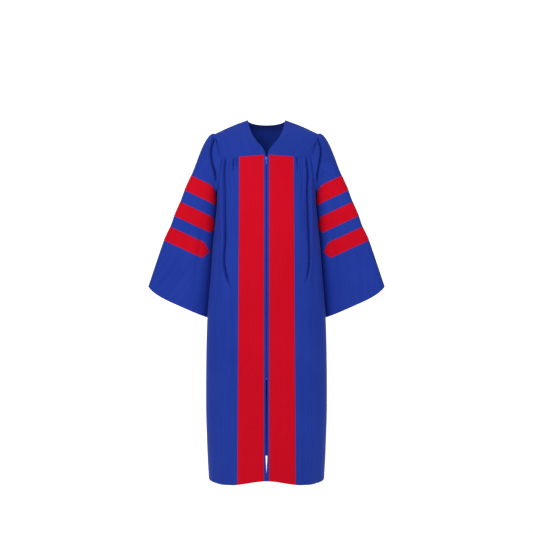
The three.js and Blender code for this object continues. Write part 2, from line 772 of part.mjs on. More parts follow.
function addBar(name, sleeve, firstRow, bar) {
  const fold = {
    points: [0, 1, 2].map((i) => sleeve.grid[firstRow + i][sleeve.fold]),
    normals: [0, 1, 2].map((i) => sleeve.normals[firstRow + i][sleeve.fold]),
  };
  const shifted = {
    grid: sleeve.grid.map((row) => [...row.slice(sleeve.fold), ...row.slice(0, sleeve.fold)]),
    normals: sleeve.normals.map((row) => [...row.slice(sleeve.fold), ...row.slice(0, sleeve.fold)]),
  };
  const [reachBefore, reachAfter] = sleeve.backIsNext ? [bar.front, bar.back] : [bar.back, bar.front];
  const before = barSide(shifted, firstRow, -1, reachBefore).reverse();
  const columns = [...before, fold, ...barSide(shifted, firstRow, 1, reachAfter)];
  const grid = [0, 1, 2].map((i) => columns.map((column) => column.points[i]));
  const normals = [0, 1, 2].map((i) => columns.map((column) => column.normals[i].clone().normalize()));
  add(name, wall(grid, normals, TRIM, (CLOTH + TRIM) / 2 + BAR_GAP, false), RED);
}

// Plate with rounded corners, its thickness along Y from 0 towards the front
function plate(width, length, thick, corner, hole) {
  const shape = new THREE.Shape();
  const w = width / 2;
  const l = length / 2;
  shape.moveTo(-w + corner, -l);
  shape.lineTo(w - corner, -l);
  shape.quadraticCurveTo(w, -l, w, -l + corner);
  shape.lineTo(w, l - corner);
  shape.quadraticCurveTo(w, l, w - corner, l);
  shape.lineTo(-w + corner, l);
  shape.quadraticCurveTo(-w, l, -w, l - corner);
  shape.lineTo(-w, -l + corner);
  shape.quadraticCurveTo(-w, -l, -w + corner, -l);
  if (hole) {
    shape.holes.push(hole);
  }
  const geometry = new THREE.ExtrudeGeometry(shape, {
    depth: thick,
    bevelEnabled: false,
    curveSegments: CORNER_STEPS,
  });
  geometry.rotateX(QUARTER);
  return geometry;
}

function toSolid(geometry) {
  const bare = geometry.clone();
  bare.deleteAttribute('normal');
  bare.deleteAttribute('uv');
  const merged = mergeVertices(bare, MERGE_REACH);
  const vertProperties = new Float32Array(merged.attributes.position.array);
  const triVerts = new Uint32Array(merged.index.array);
  return new wasm.Manifold(new wasm.Mesh({ numProp: 3, vertProperties, triVerts }));
}

function toGeometry(solid) {
  const mesh = solid.getMesh();
  const geometry = new THREE.BufferGeometry();
  geometry.setAttribute('position', new THREE.Float32BufferAttribute(mesh.vertProperties, 3));
  geometry.setIndex(Array.from(mesh.triVerts));
  geometry.computeVertexNormals();
  return geometry;
}

// Half ring with straight legs, seen from the side, that traps the tab's upper bar
function bridgeGeometry(legs) {
  const profile = new THREE.Shape();
  profile.moveTo(legs, BRIDGE.outer);
  profile.lineTo(0, BRIDGE.outer);
  profile.absarc(0, 0, BRIDGE.outer, QUARTER, 3 * QUARTER, false);
  profile.lineTo(legs, -BRIDGE.outer);
  profile.lineTo(legs, -BRIDGE.inner);
  profile.lineTo(0, -BRIDGE.inner);
  profile.absarc(0, 0, BRIDGE.inner, 3 * QUARTER, QUARTER, true);
  profile.lineTo(legs, BRIDGE.inner);
  const geometry = new THREE.ExtrudeGeometry(profile, {
    depth: BRIDGE.width,
    bevelEnabled: false,
    curveSegments: BRIDGE.arcSteps,
  });
  geometry.translate(0, 0, -BRIDGE.width / 2);
  geometry.rotateY(QUARTER);
  geometry.rotateX(QUARTER);
  return geometry;
}

function sliderGeometry() {
  const facingFace = CLOTH / 2 + SLIDER.gap;
  const front = plate(SLIDER.width, SLIDER.length, SLIDER.plate, SLIDER.corner);
  front.translate(0, -facingFace, 0);
  const back = plate(SLIDER.width, SLIDER.length, SLIDER.plate, SLIDER.corner);
  back.translate(0, facingFace + SLIDER.plate, 0);
  const post = new THREE.BoxGeometry(POST.width, 2 * facingFace + SLIDER.plate, POST.length);
  post.translate(0, 0, SLIDER.length / 2 - POST.down + POST.length);
  const bridge = bridgeGeometry(TAB.lift + SLIDER.plate / 2);
  bridge.translate(0, -facingFace - SLIDER.plate - TAB.lift, 0);
  return toGeometry(toSolid(front).add(toSolid(back)).add(toSolid(post)).add(toSolid(bridge)));
}

// Tab that hangs from its upper bar, with an eye that straddles the bridge
function tabGeometry() {
  const half = TAB.length / 2;
  const barHalf = TAB.thick / 2;
  const drop = half - barHalf;
  const eye = new THREE.Path();
  eye.moveTo(-TAB.eyeWidth / 2, drop - barHalf);
  eye.lineTo(-TAB.eyeWidth / 2, drop - TAB.eyeEnd);
  eye.lineTo(TAB.eyeWidth / 2, drop - TAB.eyeEnd);
  eye.lineTo(TAB.eyeWidth / 2, drop - barHalf);
  const geometry = plate(TAB.width, TAB.length, TAB.thick, TAB.corner, eye);
  geometry.translate(0, TAB.thick / 2, -drop);
  return geometry;
}

// Sewn cloth: normals are gathered first and the walls are made after them
const frontCloth = frontGrid();
const yokeCloth = frontYokeGrid();
const facingCloth = facingGrid();
const sleeveCloth = sleeveGrid();
const backCloth = backGrid();
const backYokeCloth = backYokeGrid();

const lastFront = FRONTS.length - 1;
const sewnArmhole = Math.floor(ARMHOLE_STEPS * ARMHOLE_SEWN);
const frontSewn = (r, c) => c === 0 || c === lastFront || (r === 0 && c <= FRONT_CORNER + sewnArmhole);
const frontBetween = (r, c) => r === 0 && Boolean(FRONTS[c].between);
const lastBack = BACKS.length - 1;
const firstSewn = ARMHOLE_STEPS - sewnArmhole;
const backSewn = (r, c) => c === 0 || c === lastBack
  || (r === 0 && c >= firstSewn && c <= lastBack - firstSewn);
const backBetween = (r, c) => r === 0 && Boolean(BACKS[c].between);
const yokeSewn = (r, c) => r === 0 || r === YOKE_ROWS || c === YOKE_COLUMNS.length - 1;
const neckFrom = YOKE_COLUMNS.length - 1;
const lastYoke = backYokeCloth[0].length - 1;
const backYokeSewn = (r, c) => r === YOKE_ROWS || c === 0 || c === lastYoke
  || (r === 0 && (c <= neckFrom || c >= lastYoke - neckFrom));
const facingSewn = (r, c) => c === 1 || r === 0;

const sides = [
  { side: 'left', turned: (grid) => grid, column: (c) => c },
  { side: 'right', turned: flip, column: (c, count) => count - 1 - c },
];

const pieces = [];
const sleeves = [];
const fronts = [];
for (const { side, turned, column } of sides) {
  const seen = (test, count) => (r, c) => test(r, column(c, count));
  const yokeCount = YOKE_COLUMNS.length;
  pieces.push(cloth(`yoke_front_${side}`, turned(yokeCloth), { sewn: seen(yokeSewn, yokeCount) }));
  const front = cloth(`front_${side}`, turned(frontCloth), {
    sewn: seen(frontSewn, FRONTS.length),
    between: seen(frontBetween, FRONTS.length),
  });
  pieces.push(front);
  fronts.push(front);
  pieces.push(cloth(`zip_facing_${side}`, turned(facingCloth), { sewn: seen(facingSewn, 2) }));
  const count = sleeveCloth.seam.length;
  const sleeve = cloth(`sleeve_${side}`, turned(sleeveCloth.grid), {
    wraps: true,
    sewn: seen((r, c) => r === 0 && sleeveCloth.seam[c].sewn, count),
    between: seen((r, c) => r === 0 && Boolean(sleeveCloth.seam[c].between), count),
  });
  sleeve.fold = column(0, count);
  sleeve.backIsNext = side === 'left';
  pieces.push(sleeve);
  sleeves.push(sleeve);
}
pieces.push(cloth('back', backCloth, { sewn: backSewn, between: backBetween }));
pieces.push(cloth('yoke_back', backYokeCloth, { sewn: backYokeSewn }));
for (const piece of pieces) {
  sew(piece);
  add(piece.name, wall(piece.grid, piece.normals, CLOTH, 0, piece.wraps), BLUE);
}

// Red bands: the first columns of each front, moved out
fronts.forEach((front, i) => {
  const { side } = sides[i];
  const count = front.grid[0].length;
  const [from, to] = side === 'left' ? [0, BAND_STEPS + 1] : [count - BAND_STEPS - 1, count];
  const grid = front.grid.map((row) => row.slice(from, to));
  const normals = front.normals.map((row) => row.slice(from, to));
  add(`front_band_${side}`, wall(grid, normals, TRIM, (CLOTH + TRIM) / 2 + TRIM_GAP, false), RED);
});

// Bars: their edges and middles are rows of the sleeve
const firstBarRow = 1 + HEAD_ROWS.length;
sleeves.forEach((sleeve, i) => {
  BARS.forEach((bar, n) => {
    addBar(`sleeve_bar_${sides[i].side}_${n + 1}`, sleeve, firstBarRow + bar.ring + n, bar);
  });
});

// Closed zip between the facings, then the stop at its lower end
const frontY = (z) => -lookup(BODY, 'z', z, 'front');
const chainGrid = Array.from({ length: CHAIN.rows }, (_, i) => {
  const z = THREE.MathUtils.lerp(CHAIN.top, CHAIN.bottom, i / (CHAIN.rows - 1));
  return [-CHAIN_HALF, CHAIN_HALF].map((x) => new THREE.Vector3(x, frontY(z), z));
});
add('zip_chain', wall(chainGrid, gridNormals(chainGrid, false), CHAIN.thick, 0, false), ZIP_BLUE);

const stopZ = CHAIN.bottom - STOP.gap - STOP.height / 2;
const stopPlate = plate(2 * CHAIN_HALF, STOP.height, STOP.thick, STOP.corner);
const stop = add('zip_bottom_stop', stopPlate, ZIP_METAL);
stop.position.set(0, frontY(stopZ) + STOP.thick / 2, stopZ);

// Slider at the top of the closed zip, square to the cloth there
const slide = new THREE.Group();
const span = SLIDER.length;
slide.position.set(0, frontY(SLIDER.z), SLIDER.z);
slide.rotation.x = Math.atan((frontY(SLIDER.z - span) - frontY(SLIDER.z + span)) / (2 * span));
gown.add(slide);
add('zip_slider', sliderGeometry(), ZIP_METAL, slide);
const tab = add('zip_pull_tab', tabGeometry(), ZIP_METAL, slide);
tab.position.y = -(CLOTH / 2 + SLIDER.gap + SLIDER.plate + TAB.lift);

export default gown;
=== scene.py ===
"""Graduation gown with red bands and sleeve bars, filled out and hanging.

Lengths here are millimetres until a mesh is made. X runs to the gown's own left, Y to its
back and Z up, with Z at 0 at the neck ends of the shoulder seams, as in the frame.
"""

import json
import logging
import math
from dataclasses import dataclass, field
from enum import Enum
from functools import cached_property
from typing import Callable, Sequence

import bpy
import numpy as np
from numpy.typing import NDArray
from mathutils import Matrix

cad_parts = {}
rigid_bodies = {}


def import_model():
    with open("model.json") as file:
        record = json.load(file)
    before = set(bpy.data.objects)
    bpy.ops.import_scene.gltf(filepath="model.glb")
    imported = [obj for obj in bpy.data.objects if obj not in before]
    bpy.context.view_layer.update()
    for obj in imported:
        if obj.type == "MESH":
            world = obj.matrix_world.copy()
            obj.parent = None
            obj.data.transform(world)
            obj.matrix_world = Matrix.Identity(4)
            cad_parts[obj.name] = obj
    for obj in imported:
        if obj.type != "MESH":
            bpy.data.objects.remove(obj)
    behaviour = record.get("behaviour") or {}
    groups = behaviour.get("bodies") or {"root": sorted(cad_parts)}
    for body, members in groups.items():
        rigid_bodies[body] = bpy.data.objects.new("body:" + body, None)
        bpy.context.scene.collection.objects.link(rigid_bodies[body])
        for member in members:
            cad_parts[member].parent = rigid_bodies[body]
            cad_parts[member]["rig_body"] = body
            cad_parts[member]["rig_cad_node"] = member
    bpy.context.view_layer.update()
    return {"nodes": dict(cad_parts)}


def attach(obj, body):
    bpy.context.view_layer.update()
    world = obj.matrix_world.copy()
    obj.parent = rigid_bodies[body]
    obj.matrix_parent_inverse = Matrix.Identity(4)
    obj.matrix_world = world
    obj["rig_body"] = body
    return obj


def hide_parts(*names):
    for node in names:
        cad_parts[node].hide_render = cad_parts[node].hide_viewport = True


Array = NDArray[np.float64]
Sampler = Callable[[Array, Array], Array]
Colour = tuple[float, float, float, float]
Place = Array | float | tuple[float, float]

LOG = logging.getLogger("gown")
MM = 0.001
QUARTER = math.pi / 2


class Face(Enum):
    """Which half of the body a panel lies on, with the sign of its Y."""

    FRONT = -1
    BACK = 1


class Side(Enum):
    """Which side of the gown a piece is on, with the sign of its X."""

    LEFT = 1
    RIGHT = -1

    @property
    def label(self) -> str:
        """Word for the side, as in the names of the pieces."""
        return self.name.lower()


class Held(Enum):
    """How a sheet of cloth hangs."""

    HUNG = "hung"
    GATHERED = "gathered"
    LAID = "laid"


def ease(start: float, end: float, at: Array) -> Array:
    """Smooth step from 0 at start to 1 at end.

    Args:
        start: value where the step begins.
        end: value where it is complete.
        at: values to look up.

    Returns:
        Shares between 0 and 1, in the shape of at.
    """
    share = np.clip((np.asarray(at, float) - start) / (end - start), 0.0, 1.0)
    return share * share * (3.0 - 2.0 * share)


def bell(offset: Array, width: float) -> Array:
    """Soft hump of height 1 that falls away over a width."""
    return np.exp(-((offset / width) ** 2))


def mix(start: Array, end: Array, share: Array) -> Array:
    """Straight blend from start to end."""
    return start + (end - start) * share


def signed_power(value: Array, exponent: float) -> Array:
    """Power that keeps the sign of its value."""
    return np.sign(value) * np.abs(value) ** exponent


def unit(vectors: Array) -> Array:
    """Vectors brought to length 1."""
    length = np.linalg.norm(vectors, axis=-1, keepdims=True)
    return vectors / np.maximum(length, 1e-9)


def smooth_values(keys: Array, values: Array, at: Array) -> Array:
    """Cubic values between the rows of a table, held level past its ends.

    Args:
        keys: rising or falling keys, one a row.
        values: one value a row.
        at: keys to look up.

    Returns:
        Values in the shape of at.
    """
    if keys[-1] < keys[0]:
        keys, values = keys[::-1], values[::-1]
    last = len(keys) - 1
    low = np.maximum(np.arange(last + 1) - 1, 0)
    high = np.minimum(np.arange(last + 1) + 1, last)
    slopes = (values[high] - values[low]) / (keys[high] - keys[low])
    index = np.clip(np.searchsorted(keys, at) - 1, 0, last - 1)
    span = keys[index + 1] - keys[index]
    t = np.clip((at - keys[index]) / span, 0.0, 1.0)
    early = (1 + 2 * t) * (1 - t) ** 2
    bend = t * (1 - t) ** 2 * slopes[index] - t**2 * (1 - t) * slopes[index + 1]
    return values[index] * early + values[index + 1] * (1 - early) + span * bend


@dataclass(frozen=True)
class Table:
    """Short table of sizes with named columns, ordered by its first column."""

    columns: tuple[str, ...]
    rows: tuple[tuple[float, ...], ...]

    def at(self, key: Array, column: str) -> Array:
        """Smooth value of one column.

        Args:
            key: values of the first column to look up.
            column: name of the wanted column.

        Returns:
            Values in the shape of key.
        """
        table = np.array(self.rows, float)
        place = self.columns.index(column)
        return smooth_values(table[:, 0], table[:, place], np.asarray(key, float))


class Path:
    """Smooth curve through a few points, walked by share of its length."""

    SAMPLES = 240
    SOFT_STEPS = 9

    def __init__(self, points: Sequence[Sequence[float]]) -> None:
        """Runs a curve through the points in order.

        Args:
            points: two or more points of the same number of coordinates.
        """
        knots = np.array(points, float)
        keys = self.walk(knots)
        fine = np.linspace(0.0, keys[-1], self.SAMPLES)
        self._samples = np.stack([smooth_values(keys, column, fine) for column in knots.T], axis=-1)
        self._shares = self.walk(self._samples)
        self.length = float(self._shares[-1])
        self._shares = self._shares / self.length

    @staticmethod
    def walk(points: Array) -> Array:
        """Length walked at each point."""
        steps = np.linalg.norm(np.diff(points, axis=0), axis=1)
        return np.concatenate([[0.0], np.cumsum(steps)])

    def at(self, share: Array) -> Array:
        """Points at shares of the length, from 0 to 1."""
        columns = [np.interp(share, self._shares, column) for column in self._samples.T]
        return np.stack(columns, axis=-1)

    def soft(self, share: Array, window: float) -> Array:
        """Points of the same curve with its corners rounded.

        Args:
            share: shares of the length, from 0 to 1.
            window: share of the length over which a corner is rounded.

        Returns:
            One point for each share.
        """
        share = np.asarray(share, float)
        reach = np.minimum(np.minimum(share, 1 - share), window)
        steps = np.linspace(-1.0, 1.0, self.SOFT_STEPS)
        return sum(self.at(share + step * reach) for step in steps) / len(steps)


@dataclass(frozen=True)
class FoldStyle:
    """How a crease starts, ends and stands up beside its trough.

    Ridge is the share of the depth that is raised, on the side of the larger across where
    the route runs down. Onset and fade are shares of the route, and lean is how many
    widths the ridge slides over the trough.
    """

    ridge: float = 0.3
    onset: float = 0.12
    fade: float = 0.45
    lean: float = 0.0


@dataclass(frozen=True)
class Crease:
    """Soft fold pressed into cloth, as seen from straight ahead: a route of across and height."""

    route: tuple[tuple[float, float], ...]
    depth: float
    width: float
    style: FoldStyle = FoldStyle()

    MARKS = 49
    SHARPNESS = 1.45
    RIDGE_PLACE = 2.1
    RIDGE_WIDTH = 1.5
    REACH = 6.5

    @cached_property
    def line(self) -> Array:
        """Points along the route."""
        return Path(self.route).at(np.linspace(0.0, 1.0, self.MARKS))

    def press(self, across: Array, height: Array) -> Array:
        """Depth that the fold takes away from the cloth, and how far it slides sideways.

        Args:
            across: distance of each point from the middle.
            height: height of each point.

        Returns:
            Pairs of a depth, below 0 where the cloth is raised, and a slide along across.
        """
        flat = np.stack([np.ravel(across), np.ravel(height)], axis=-1)
        reach = self.REACH * self.width
        low, high = self.line.min(axis=0) - reach, self.line.max(axis=0) + reach
        near = np.all((flat > low) & (flat < high), axis=1)
        pressed = np.zeros_like(flat)
        pressed[near] = self._press_near(flat[near])
        return pressed.reshape(*np.shape(across), 2)

    def _press_near(self, flat: Array) -> Array:
        """Depth and slide of points close to the route.

        Args:
            flat: pairs of across and height.

        Returns:
            Pairs of a depth and a slide.
        """
        style = self.style
        starts, ways = self.line[:-1], np.diff(self.line, axis=0)
        lengths = np.sum(ways**2, axis=1)
        offset = flat[:, None, :] - starts[None, :, :]
        along = np.clip(np.sum(offset * ways, axis=2) / lengths, 0.0, 1.0)
        gap = offset - along[..., None] * ways
        distance = np.linalg.norm(gap, axis=2)
        nearest = np.argmin(distance, axis=1)
        pick = np.arange(len(flat))
        away = distance[pick, nearest]
        turned = ways[nearest, 0] * gap[pick, nearest, 1] - ways[nearest, 1] * gap[pick, nearest, 0]
        share = (nearest + along[pick, nearest]) / len(ways)
        strength = ease(0.0, style.onset, share) * (1 - ease(1 - style.fade, 1.0, share))
        trough = np.exp(-((away / self.width) ** self.SHARPNESS))
        beside = away * np.sign(turned) - self.RIDGE_PLACE * self.width
        crest = bell(beside, self.RIDGE_WIDTH * self.width)
        depth = self.depth * strength * (trough - style.ridge * crest)
        slide = -style.lean * self.width * strength * crest
        return np.stack([depth, slide], axis=-1)


@dataclass(frozen=True)
class BodyForm:
    """Level sections of the body: rounded ovals that meet at the side seams."""

    sections: Table = Table(
        ("z", "half", "front", "back"),
        (
            (-140, 188, 118, 114),
            (-210, 183, 121, 124),
            (-300, 180, 124, 129),
            (-370, 186, 124, 129),
            (-440, 193, 124, 127),
            (-560, 202, 127, 131),
            (-726, 215, 133, 146),
            (-1025, 219, 147, 174),
            (-1200, 214, 155, 190),
            (-1300, 209, 160, 199),
        ),
    )
    rounding: float = 0.8

    def half(self, z: Array) -> Array:
        """Half width at a height."""
        return self.sections.at(z, "half")

    def depth(self, z: Array, face: Face) -> Array:
        """Depth of one face at a height."""
        return self.sections.at(z, face.name.lower())

    def point(self, z: Array, turn: Array, face: Face) -> Array:
        """Points of a section.

        Args:
            z: heights.
            turn: angles from the side seam, 0, to the middle, a quarter turn.
            face: front or back.

        Returns:
            Points with X from 0 up.
        """
        x = self.half(z) * np.maximum(np.cos(turn), 0.0) ** self.rounding
        y = face.value * self.depth(z, face) * np.maximum(np.sin(turn), 0.0) ** self.rounding
        return np.stack(np.broadcast_arrays(x, y, z), axis=-1)

    def turn_at(self, z: Array, x: Array) -> Array:
        """Angle at which a section has a given X."""
        return np.arccos(np.clip(x / self.half(z), 0.0, 1.0) ** (1 / self.rounding))


@dataclass(frozen=True)
class Cut:
    """Named sizes that the pieces share."""

    neck_point: tuple[float, float, float] = (69, 10, 0)
    shoulder_tip: tuple[float, float, float] = (187, 4, -51)
    shoulder_rise: float = 2.5
    back_neck: tuple[float, float] = (64, -9)
    corner_x: float = 156
    armhole_drop: float = 115
    armhole_power: float = 3
    front_corner_z: float = -150
    back_seam_z: float = -154
    seam_middle_z: float = -145
    band_seam_z: float = -151
    hem_level: float = -1300
    hem_front_rise: float = 24
    hem_back_rise: float = 27
    hem_width: float = 101
    chain_half: float = 2.9
    facing_inner: float = 3.3
    facing_over_zip: float = 1.8
    facing_meet: float = 0.1
    facing_outer: float = 9.3
    band_top: float = 95
    band_hem: float = 100.5
    cloth: float = 0.5

    def hem(self, x: Array, y: Array) -> Array:
        """Height of the hem below a point of the body."""
        rise = np.where(y < 0, self.hem_front_rise, self.hem_back_rise)
        return self.hem_level + rise * bell(x, self.hem_width)

    def armhole(self, seam_z: float, share: Array) -> Array:
        """Height of the armhole between the yoke's corner, 0, and the side seam, 1."""
        return seam_z - self.armhole_drop * (1 - (1 - share) ** self.armhole_power)


BODY = BodyForm()
CUT = Cut()


class ClothSurface:
    """Surface of one cut piece, looked up anywhere by a column and a row value.

    Rows go down. Turned is 1 where columns rise anticlockwise seen from above, so that
    down and over give the outer side, and -1 where they rise the other way.
    """

    creases: tuple[Crease, ...] = ()
    turned = 1
    STEP = 1e-3
    OVER_STEP = 1e-3

    def base(self, column: Array, row: Array) -> Array:
        """Points of the smooth cloth before its folds are pressed in."""
        raise NotImplementedError

    def press(self, column: Array, row: Array, points: Array) -> Array:
        """Depth and slide of all folds.

        Args:
            column: column values.
            row: row values.
            points: points of the smooth cloth there.

        Returns:
            Pairs of a depth and a slide.
        """
        across, height = points[..., 0], points[..., 2]
        still = np.zeros((*across.shape, 2))
        return sum((crease.press(across, height) for crease in self.creases), still)

    def normal(self, column: Array, row: Array, sampler: Sampler | None = None) -> Array:
        """Directions straight out of the cloth.

        Args:
            column: column values.
            row: row values.
            sampler: surface to measure, the smooth cloth if not given.

        Returns:
            Unit vectors.
        """
        look = sampler or self.base
        down = look(column, row + self.STEP) - look(column, row - self.STEP)
        over = look(column + self.OVER_STEP, row) - look(column - self.OVER_STEP, row)
        return self.turned * unit(np.cross(down, over))

    def folded(self, column: Array, row: Array) -> Array:
        """Points of the cloth with its folds.

        Args:
            column: column values.
            row: row values.

        Returns:
            Points in the shape of column and row.
        """
        points = self.base(column, row)
        pressed = self.press(column, row, points)
        moved = points - self.normal(column, row) * pressed[..., :1]
        moved[..., 0] += pressed[..., 1]
        return moved

    def at(self, column: Array, row: Array, lift: Array | float = 0.0) -> Array:
        """Points of the folded cloth, moved out by a lift.

        Args:
            column: column values.
            row: row values.
            lift: distance out of the cloth.

        Returns:
            Points in the shape of column and row.
        """
        column, row = np.broadcast_arrays(np.asarray(column, float), np.asarray(row, float))
        points = self.folded(column, row)
        if np.all(np.asarray(lift) == 0.0):
            return points
        out = self.normal(column, row, self.folded)
        return points + out * np.broadcast_to(lift, column.shape)[..., None]


class FrontPanel(ClothSurface):
    """One front, from the zip to the side seam.

    Column -2 to -1 is the zip facing, -1 to 0 the stretch under the red band and 0 to 1
    the cloth beside it. Row 0 is the yoke seam or the armhole, and row 1 the hem.
    """

    MEET = (0.915, 0.985)
    OVER_ZIP = (0.012, 0.03, 0.66, 0.675)
    SIDE_CALM = 0.16
    BAND_CALM = (-0.15, 0.08)
    SEAM = Table(
        ("x", "z"),
        ((0, CUT.seam_middle_z), (CUT.band_top, CUT.band_seam_z), (CUT.corner_x, CUT.front_corner_z)),
    )

    def __init__(self, creases: tuple[Crease, ...]) -> None:
        """Sets up the panel.

        Args:
            creases: folds of this front, with X positive on its own side.
        """
        self.creases = creases
        band_turn = float(BODY.turn_at(CUT.band_seam_z, CUT.band_top))
        corner_turn = float(BODY.turn_at(CUT.front_corner_z, CUT.corner_x))
        self.corner = 1 - corner_turn / band_turn

    def band_x(self, z: Array, share: Array) -> Array:
        """Distance from the middle across the band.

        Args:
            z: heights.
            share: 0 at the band's inner edge and 1 at its outer one.

        Returns:
            Values of X on the left side.
        """
        fall = np.clip((CUT.seam_middle_z - z) / (CUT.seam_middle_z - CUT.hem_level), 0.0, 1.0)
        outer = mix(CUT.band_top, CUT.band_hem, fall)
        return mix(CUT.facing_outer, outer, share)

    def over_zip(self, row: Array) -> Array:
        """Share by which the facings close over the zip, between its slider and its stop."""
        first, whole, last, open_again = self.OVER_ZIP
        return ease(first, whole, row) * (1 - ease(last, open_again, row))

    def turn(self, column: Array, z: Array, row: Array) -> Array:
        """Angle of a column round the section at a height.

        Args:
            column: column values.
            z: heights.
            row: row values.

        Returns:
            Angles from the side seam.
        """
        inner = mix(CUT.facing_inner, CUT.facing_over_zip, self.over_zip(row))
        inner = mix(inner, CUT.facing_meet, ease(*self.MEET, row))
        facing = mix(inner, CUT.facing_outer, column + 2)
        x = np.where(column < -1, facing, self.band_x(z, column + 1))
        near = BODY.turn_at(z, np.minimum(x, self.band_x(z, 1.0)))
        return np.where(column > 0, near * (1 - column), near)

    def top(self, column: Array) -> Array:
        """Height at which a column starts.

        Args:
            column: column values.

        Returns:
            Heights of the yoke seam or the armhole.
        """
        level = np.full_like(column, CUT.band_seam_z)
        guess = BODY.point(level, self.turn(column, level, np.zeros_like(column)), Face.FRONT)
        past = np.clip((column - self.corner) / (1 - self.corner), 0.0, 1.0)
        armhole = CUT.armhole(CUT.front_corner_z, past)
        return np.where(column > self.corner, armhole, self.SEAM.at(guess[..., 0], "z"))

    def base(self, column: Array, row: Array) -> Array:
        """Points of the panel before its folds.

        Args:
            column: column values.
            row: row values.

        Returns:
            Points in the shape of column and row.
        """
        side = np.full_like(column, CUT.hem_level)
        low = BODY.point(side, self.turn(column, side, np.ones_like(column)), Face.FRONT)
        z = mix(self.top(column), CUT.hem(low[..., 0], low[..., 1]), row)
        return BODY.point(z, self.turn(column, z, row), Face.FRONT)

    def press(self, column: Array, row: Array, points: Array) -> Array:
        """Depth and slide of the folds, none at the side seam or under the band."""
        calm = ease(0.0, self.SIDE_CALM, 1 - column) * ease(*self.BAND_CALM, column)
        return super().press(column, row, points) * calm[..., None]


@dataclass(frozen=True)
class Flute:
    """Long fold of the back, by its share of the way from the middle to a side seam.

    Drift is how far it strays over a metre of fall.
    """

    across: float
    drift: float
    depth: float
    width: float

    METRE = 1000.0
    SHARPNESS = 1.6
    CREST = 0.28
    CREST_PLACE = 2.1
    CREST_WIDTH = 1.1

    def press(self, across: Array, fall: Array) -> Array:
        """Depth of the flute.

        Args:
            across: shares of the way to the side seam.
            fall: drop below the yoke seam.

        Returns:
            Depths, below 0 where the cloth is raised.
        """
        away = np.abs(across - self.across - self.drift * fall / self.METRE)
        trough = np.exp(-((away / self.width) ** self.SHARPNESS))
        crest = bell(away - self.CREST_PLACE * self.width, self.width * self.CREST_WIDTH)
        return self.depth * (trough - self.CREST * crest)


class BackPanel(ClothSurface):
    """Whole back: column 1 is the left side seam, 0 the middle and -1 the right one."""

    FLUTES = (
        Flute(-0.66, -0.06, 13, 0.055),
        Flute(-0.50, -0.03, 16, 0.050),
        Flute(-0.34, -0.04, 12, 0.045),
        Flute(-0.18, -0.01, 18, 0.050),
        Flute(-0.03, 0.01, 13, 0.042),
        Flute(0.13, 0.02, 17, 0.050),
        Flute(0.29, 0.02, 12, 0.045),
        Flute(0.45, 0.05, 17, 0.052),
        Flute(0.62, 0.05, 14, 0.055),
    )
    ONSET = 170.0
    GROWTH = (200.0, 1000.0)
    FIRST_SHARE = 0.55
    SIDE_CALM = 0.2
    turned = -1

    def __init__(self, gathers: tuple[Crease, ...]) -> None:
        """Sets up the panel.

        Args:
            gathers: short folds below the yoke seam.
        """
        self.creases = gathers
        self.corner_turn = float(BODY.turn_at(CUT.back_seam_z, CUT.corner_x))
        self.corner = 1 - self.corner_turn / QUARTER

    def base(self, column: Array, row: Array) -> Array:
        """Points of the panel before its folds.

        Args:
            column: column values.
            row: row values.

        Returns:
            Points in the shape of column and row.
        """
        turn = QUARTER * (1 - np.minimum(np.abs(column), 1.0))
        past = np.clip((self.corner_turn - turn) / self.corner_turn, 0.0, 1.0)
        drop = mix(CUT.back_seam_z, CUT.front_corner_z, past)
        top = np.where(past > 0, CUT.armhole(drop, past), CUT.back_seam_z)
        low = BODY.point(np.full_like(column, CUT.hem_level), turn, Face.BACK)
        z = mix(top, CUT.hem(low[..., 0], low[..., 1]), row)
        points = BODY.point(z, turn, Face.BACK)
        points[..., 0] *= np.where(column < 0, -1.0, 1.0)
        return points

    def press(self, column: Array, row: Array, points: Array) -> Array:
        """Depth of the flutes, and depth and slide of the gathers under the yoke.

        Args:
            column: column values.
            row: row values.
            points: points of the smooth cloth there.

        Returns:
            Pairs of a depth and a slide.
        """
        fall = CUT.back_seam_z - points[..., 2]
        flutes = sum(flute.press(column, fall) for flute in self.FLUTES)
        grown = ease(0, self.ONSET, fall) * mix(self.FIRST_SHARE, 1.0, ease(*self.GROWTH, fall))
        pressed = super().press(column, row, points)
        pressed[..., 0] += flutes * grown
        return pressed * ease(0.0, self.SIDE_CALM, 1 - np.abs(column))[..., None]


class YokePatch(ClothSurface):
    """Flat yoke cloth stretched between four edges: column 0 to 1 across, row 0 to 1 down."""

    SOFTENING = (0.0, 0.4)
    WINDOW = 0.16

    def __init__(self, top: Path, bottom: Path, first: Path, last: Path, bulge: float = 0.0) -> None:
        """Sets up the patch.

        Args:
            top: upper edge, by column.
            bottom: lower edge, by column.
            first: edge at column 0, by row.
            last: edge at column 1, by row.
            bulge: how far the middle stands out towards the back.
        """
        self.top, self.bottom, self.first, self.last = top, bottom, first, last
        self.bulge = bulge

    def base(self, column: Array, row: Array) -> Array:
        """Points of the patch.

        Args:
            column: column values.
            row: row values.

        Returns:
            Points in the shape of column and row.
        """
        u, v = column[..., None], row[..., None]
        top = mix(self.top.at(column), self.top.soft(column, self.WINDOW), ease(*self.SOFTENING, v))
        across = mix(top, self.bottom.at(column), v)
        down = mix(self.first.at(row), self.last.at(row), u)
        upper = mix(self.top.at(0.0), self.top.at(1.0), u)
        lower = mix(self.bottom.at(0.0), self.bottom.at(1.0), u)
        points = across + down - mix(upper, lower, v)
        out = np.sin(math.pi * np.clip(row, 0, 1)) * np.sin(math.pi * np.clip(column, 0, 1))
        points[..., 1] += self.bulge * out
        return points


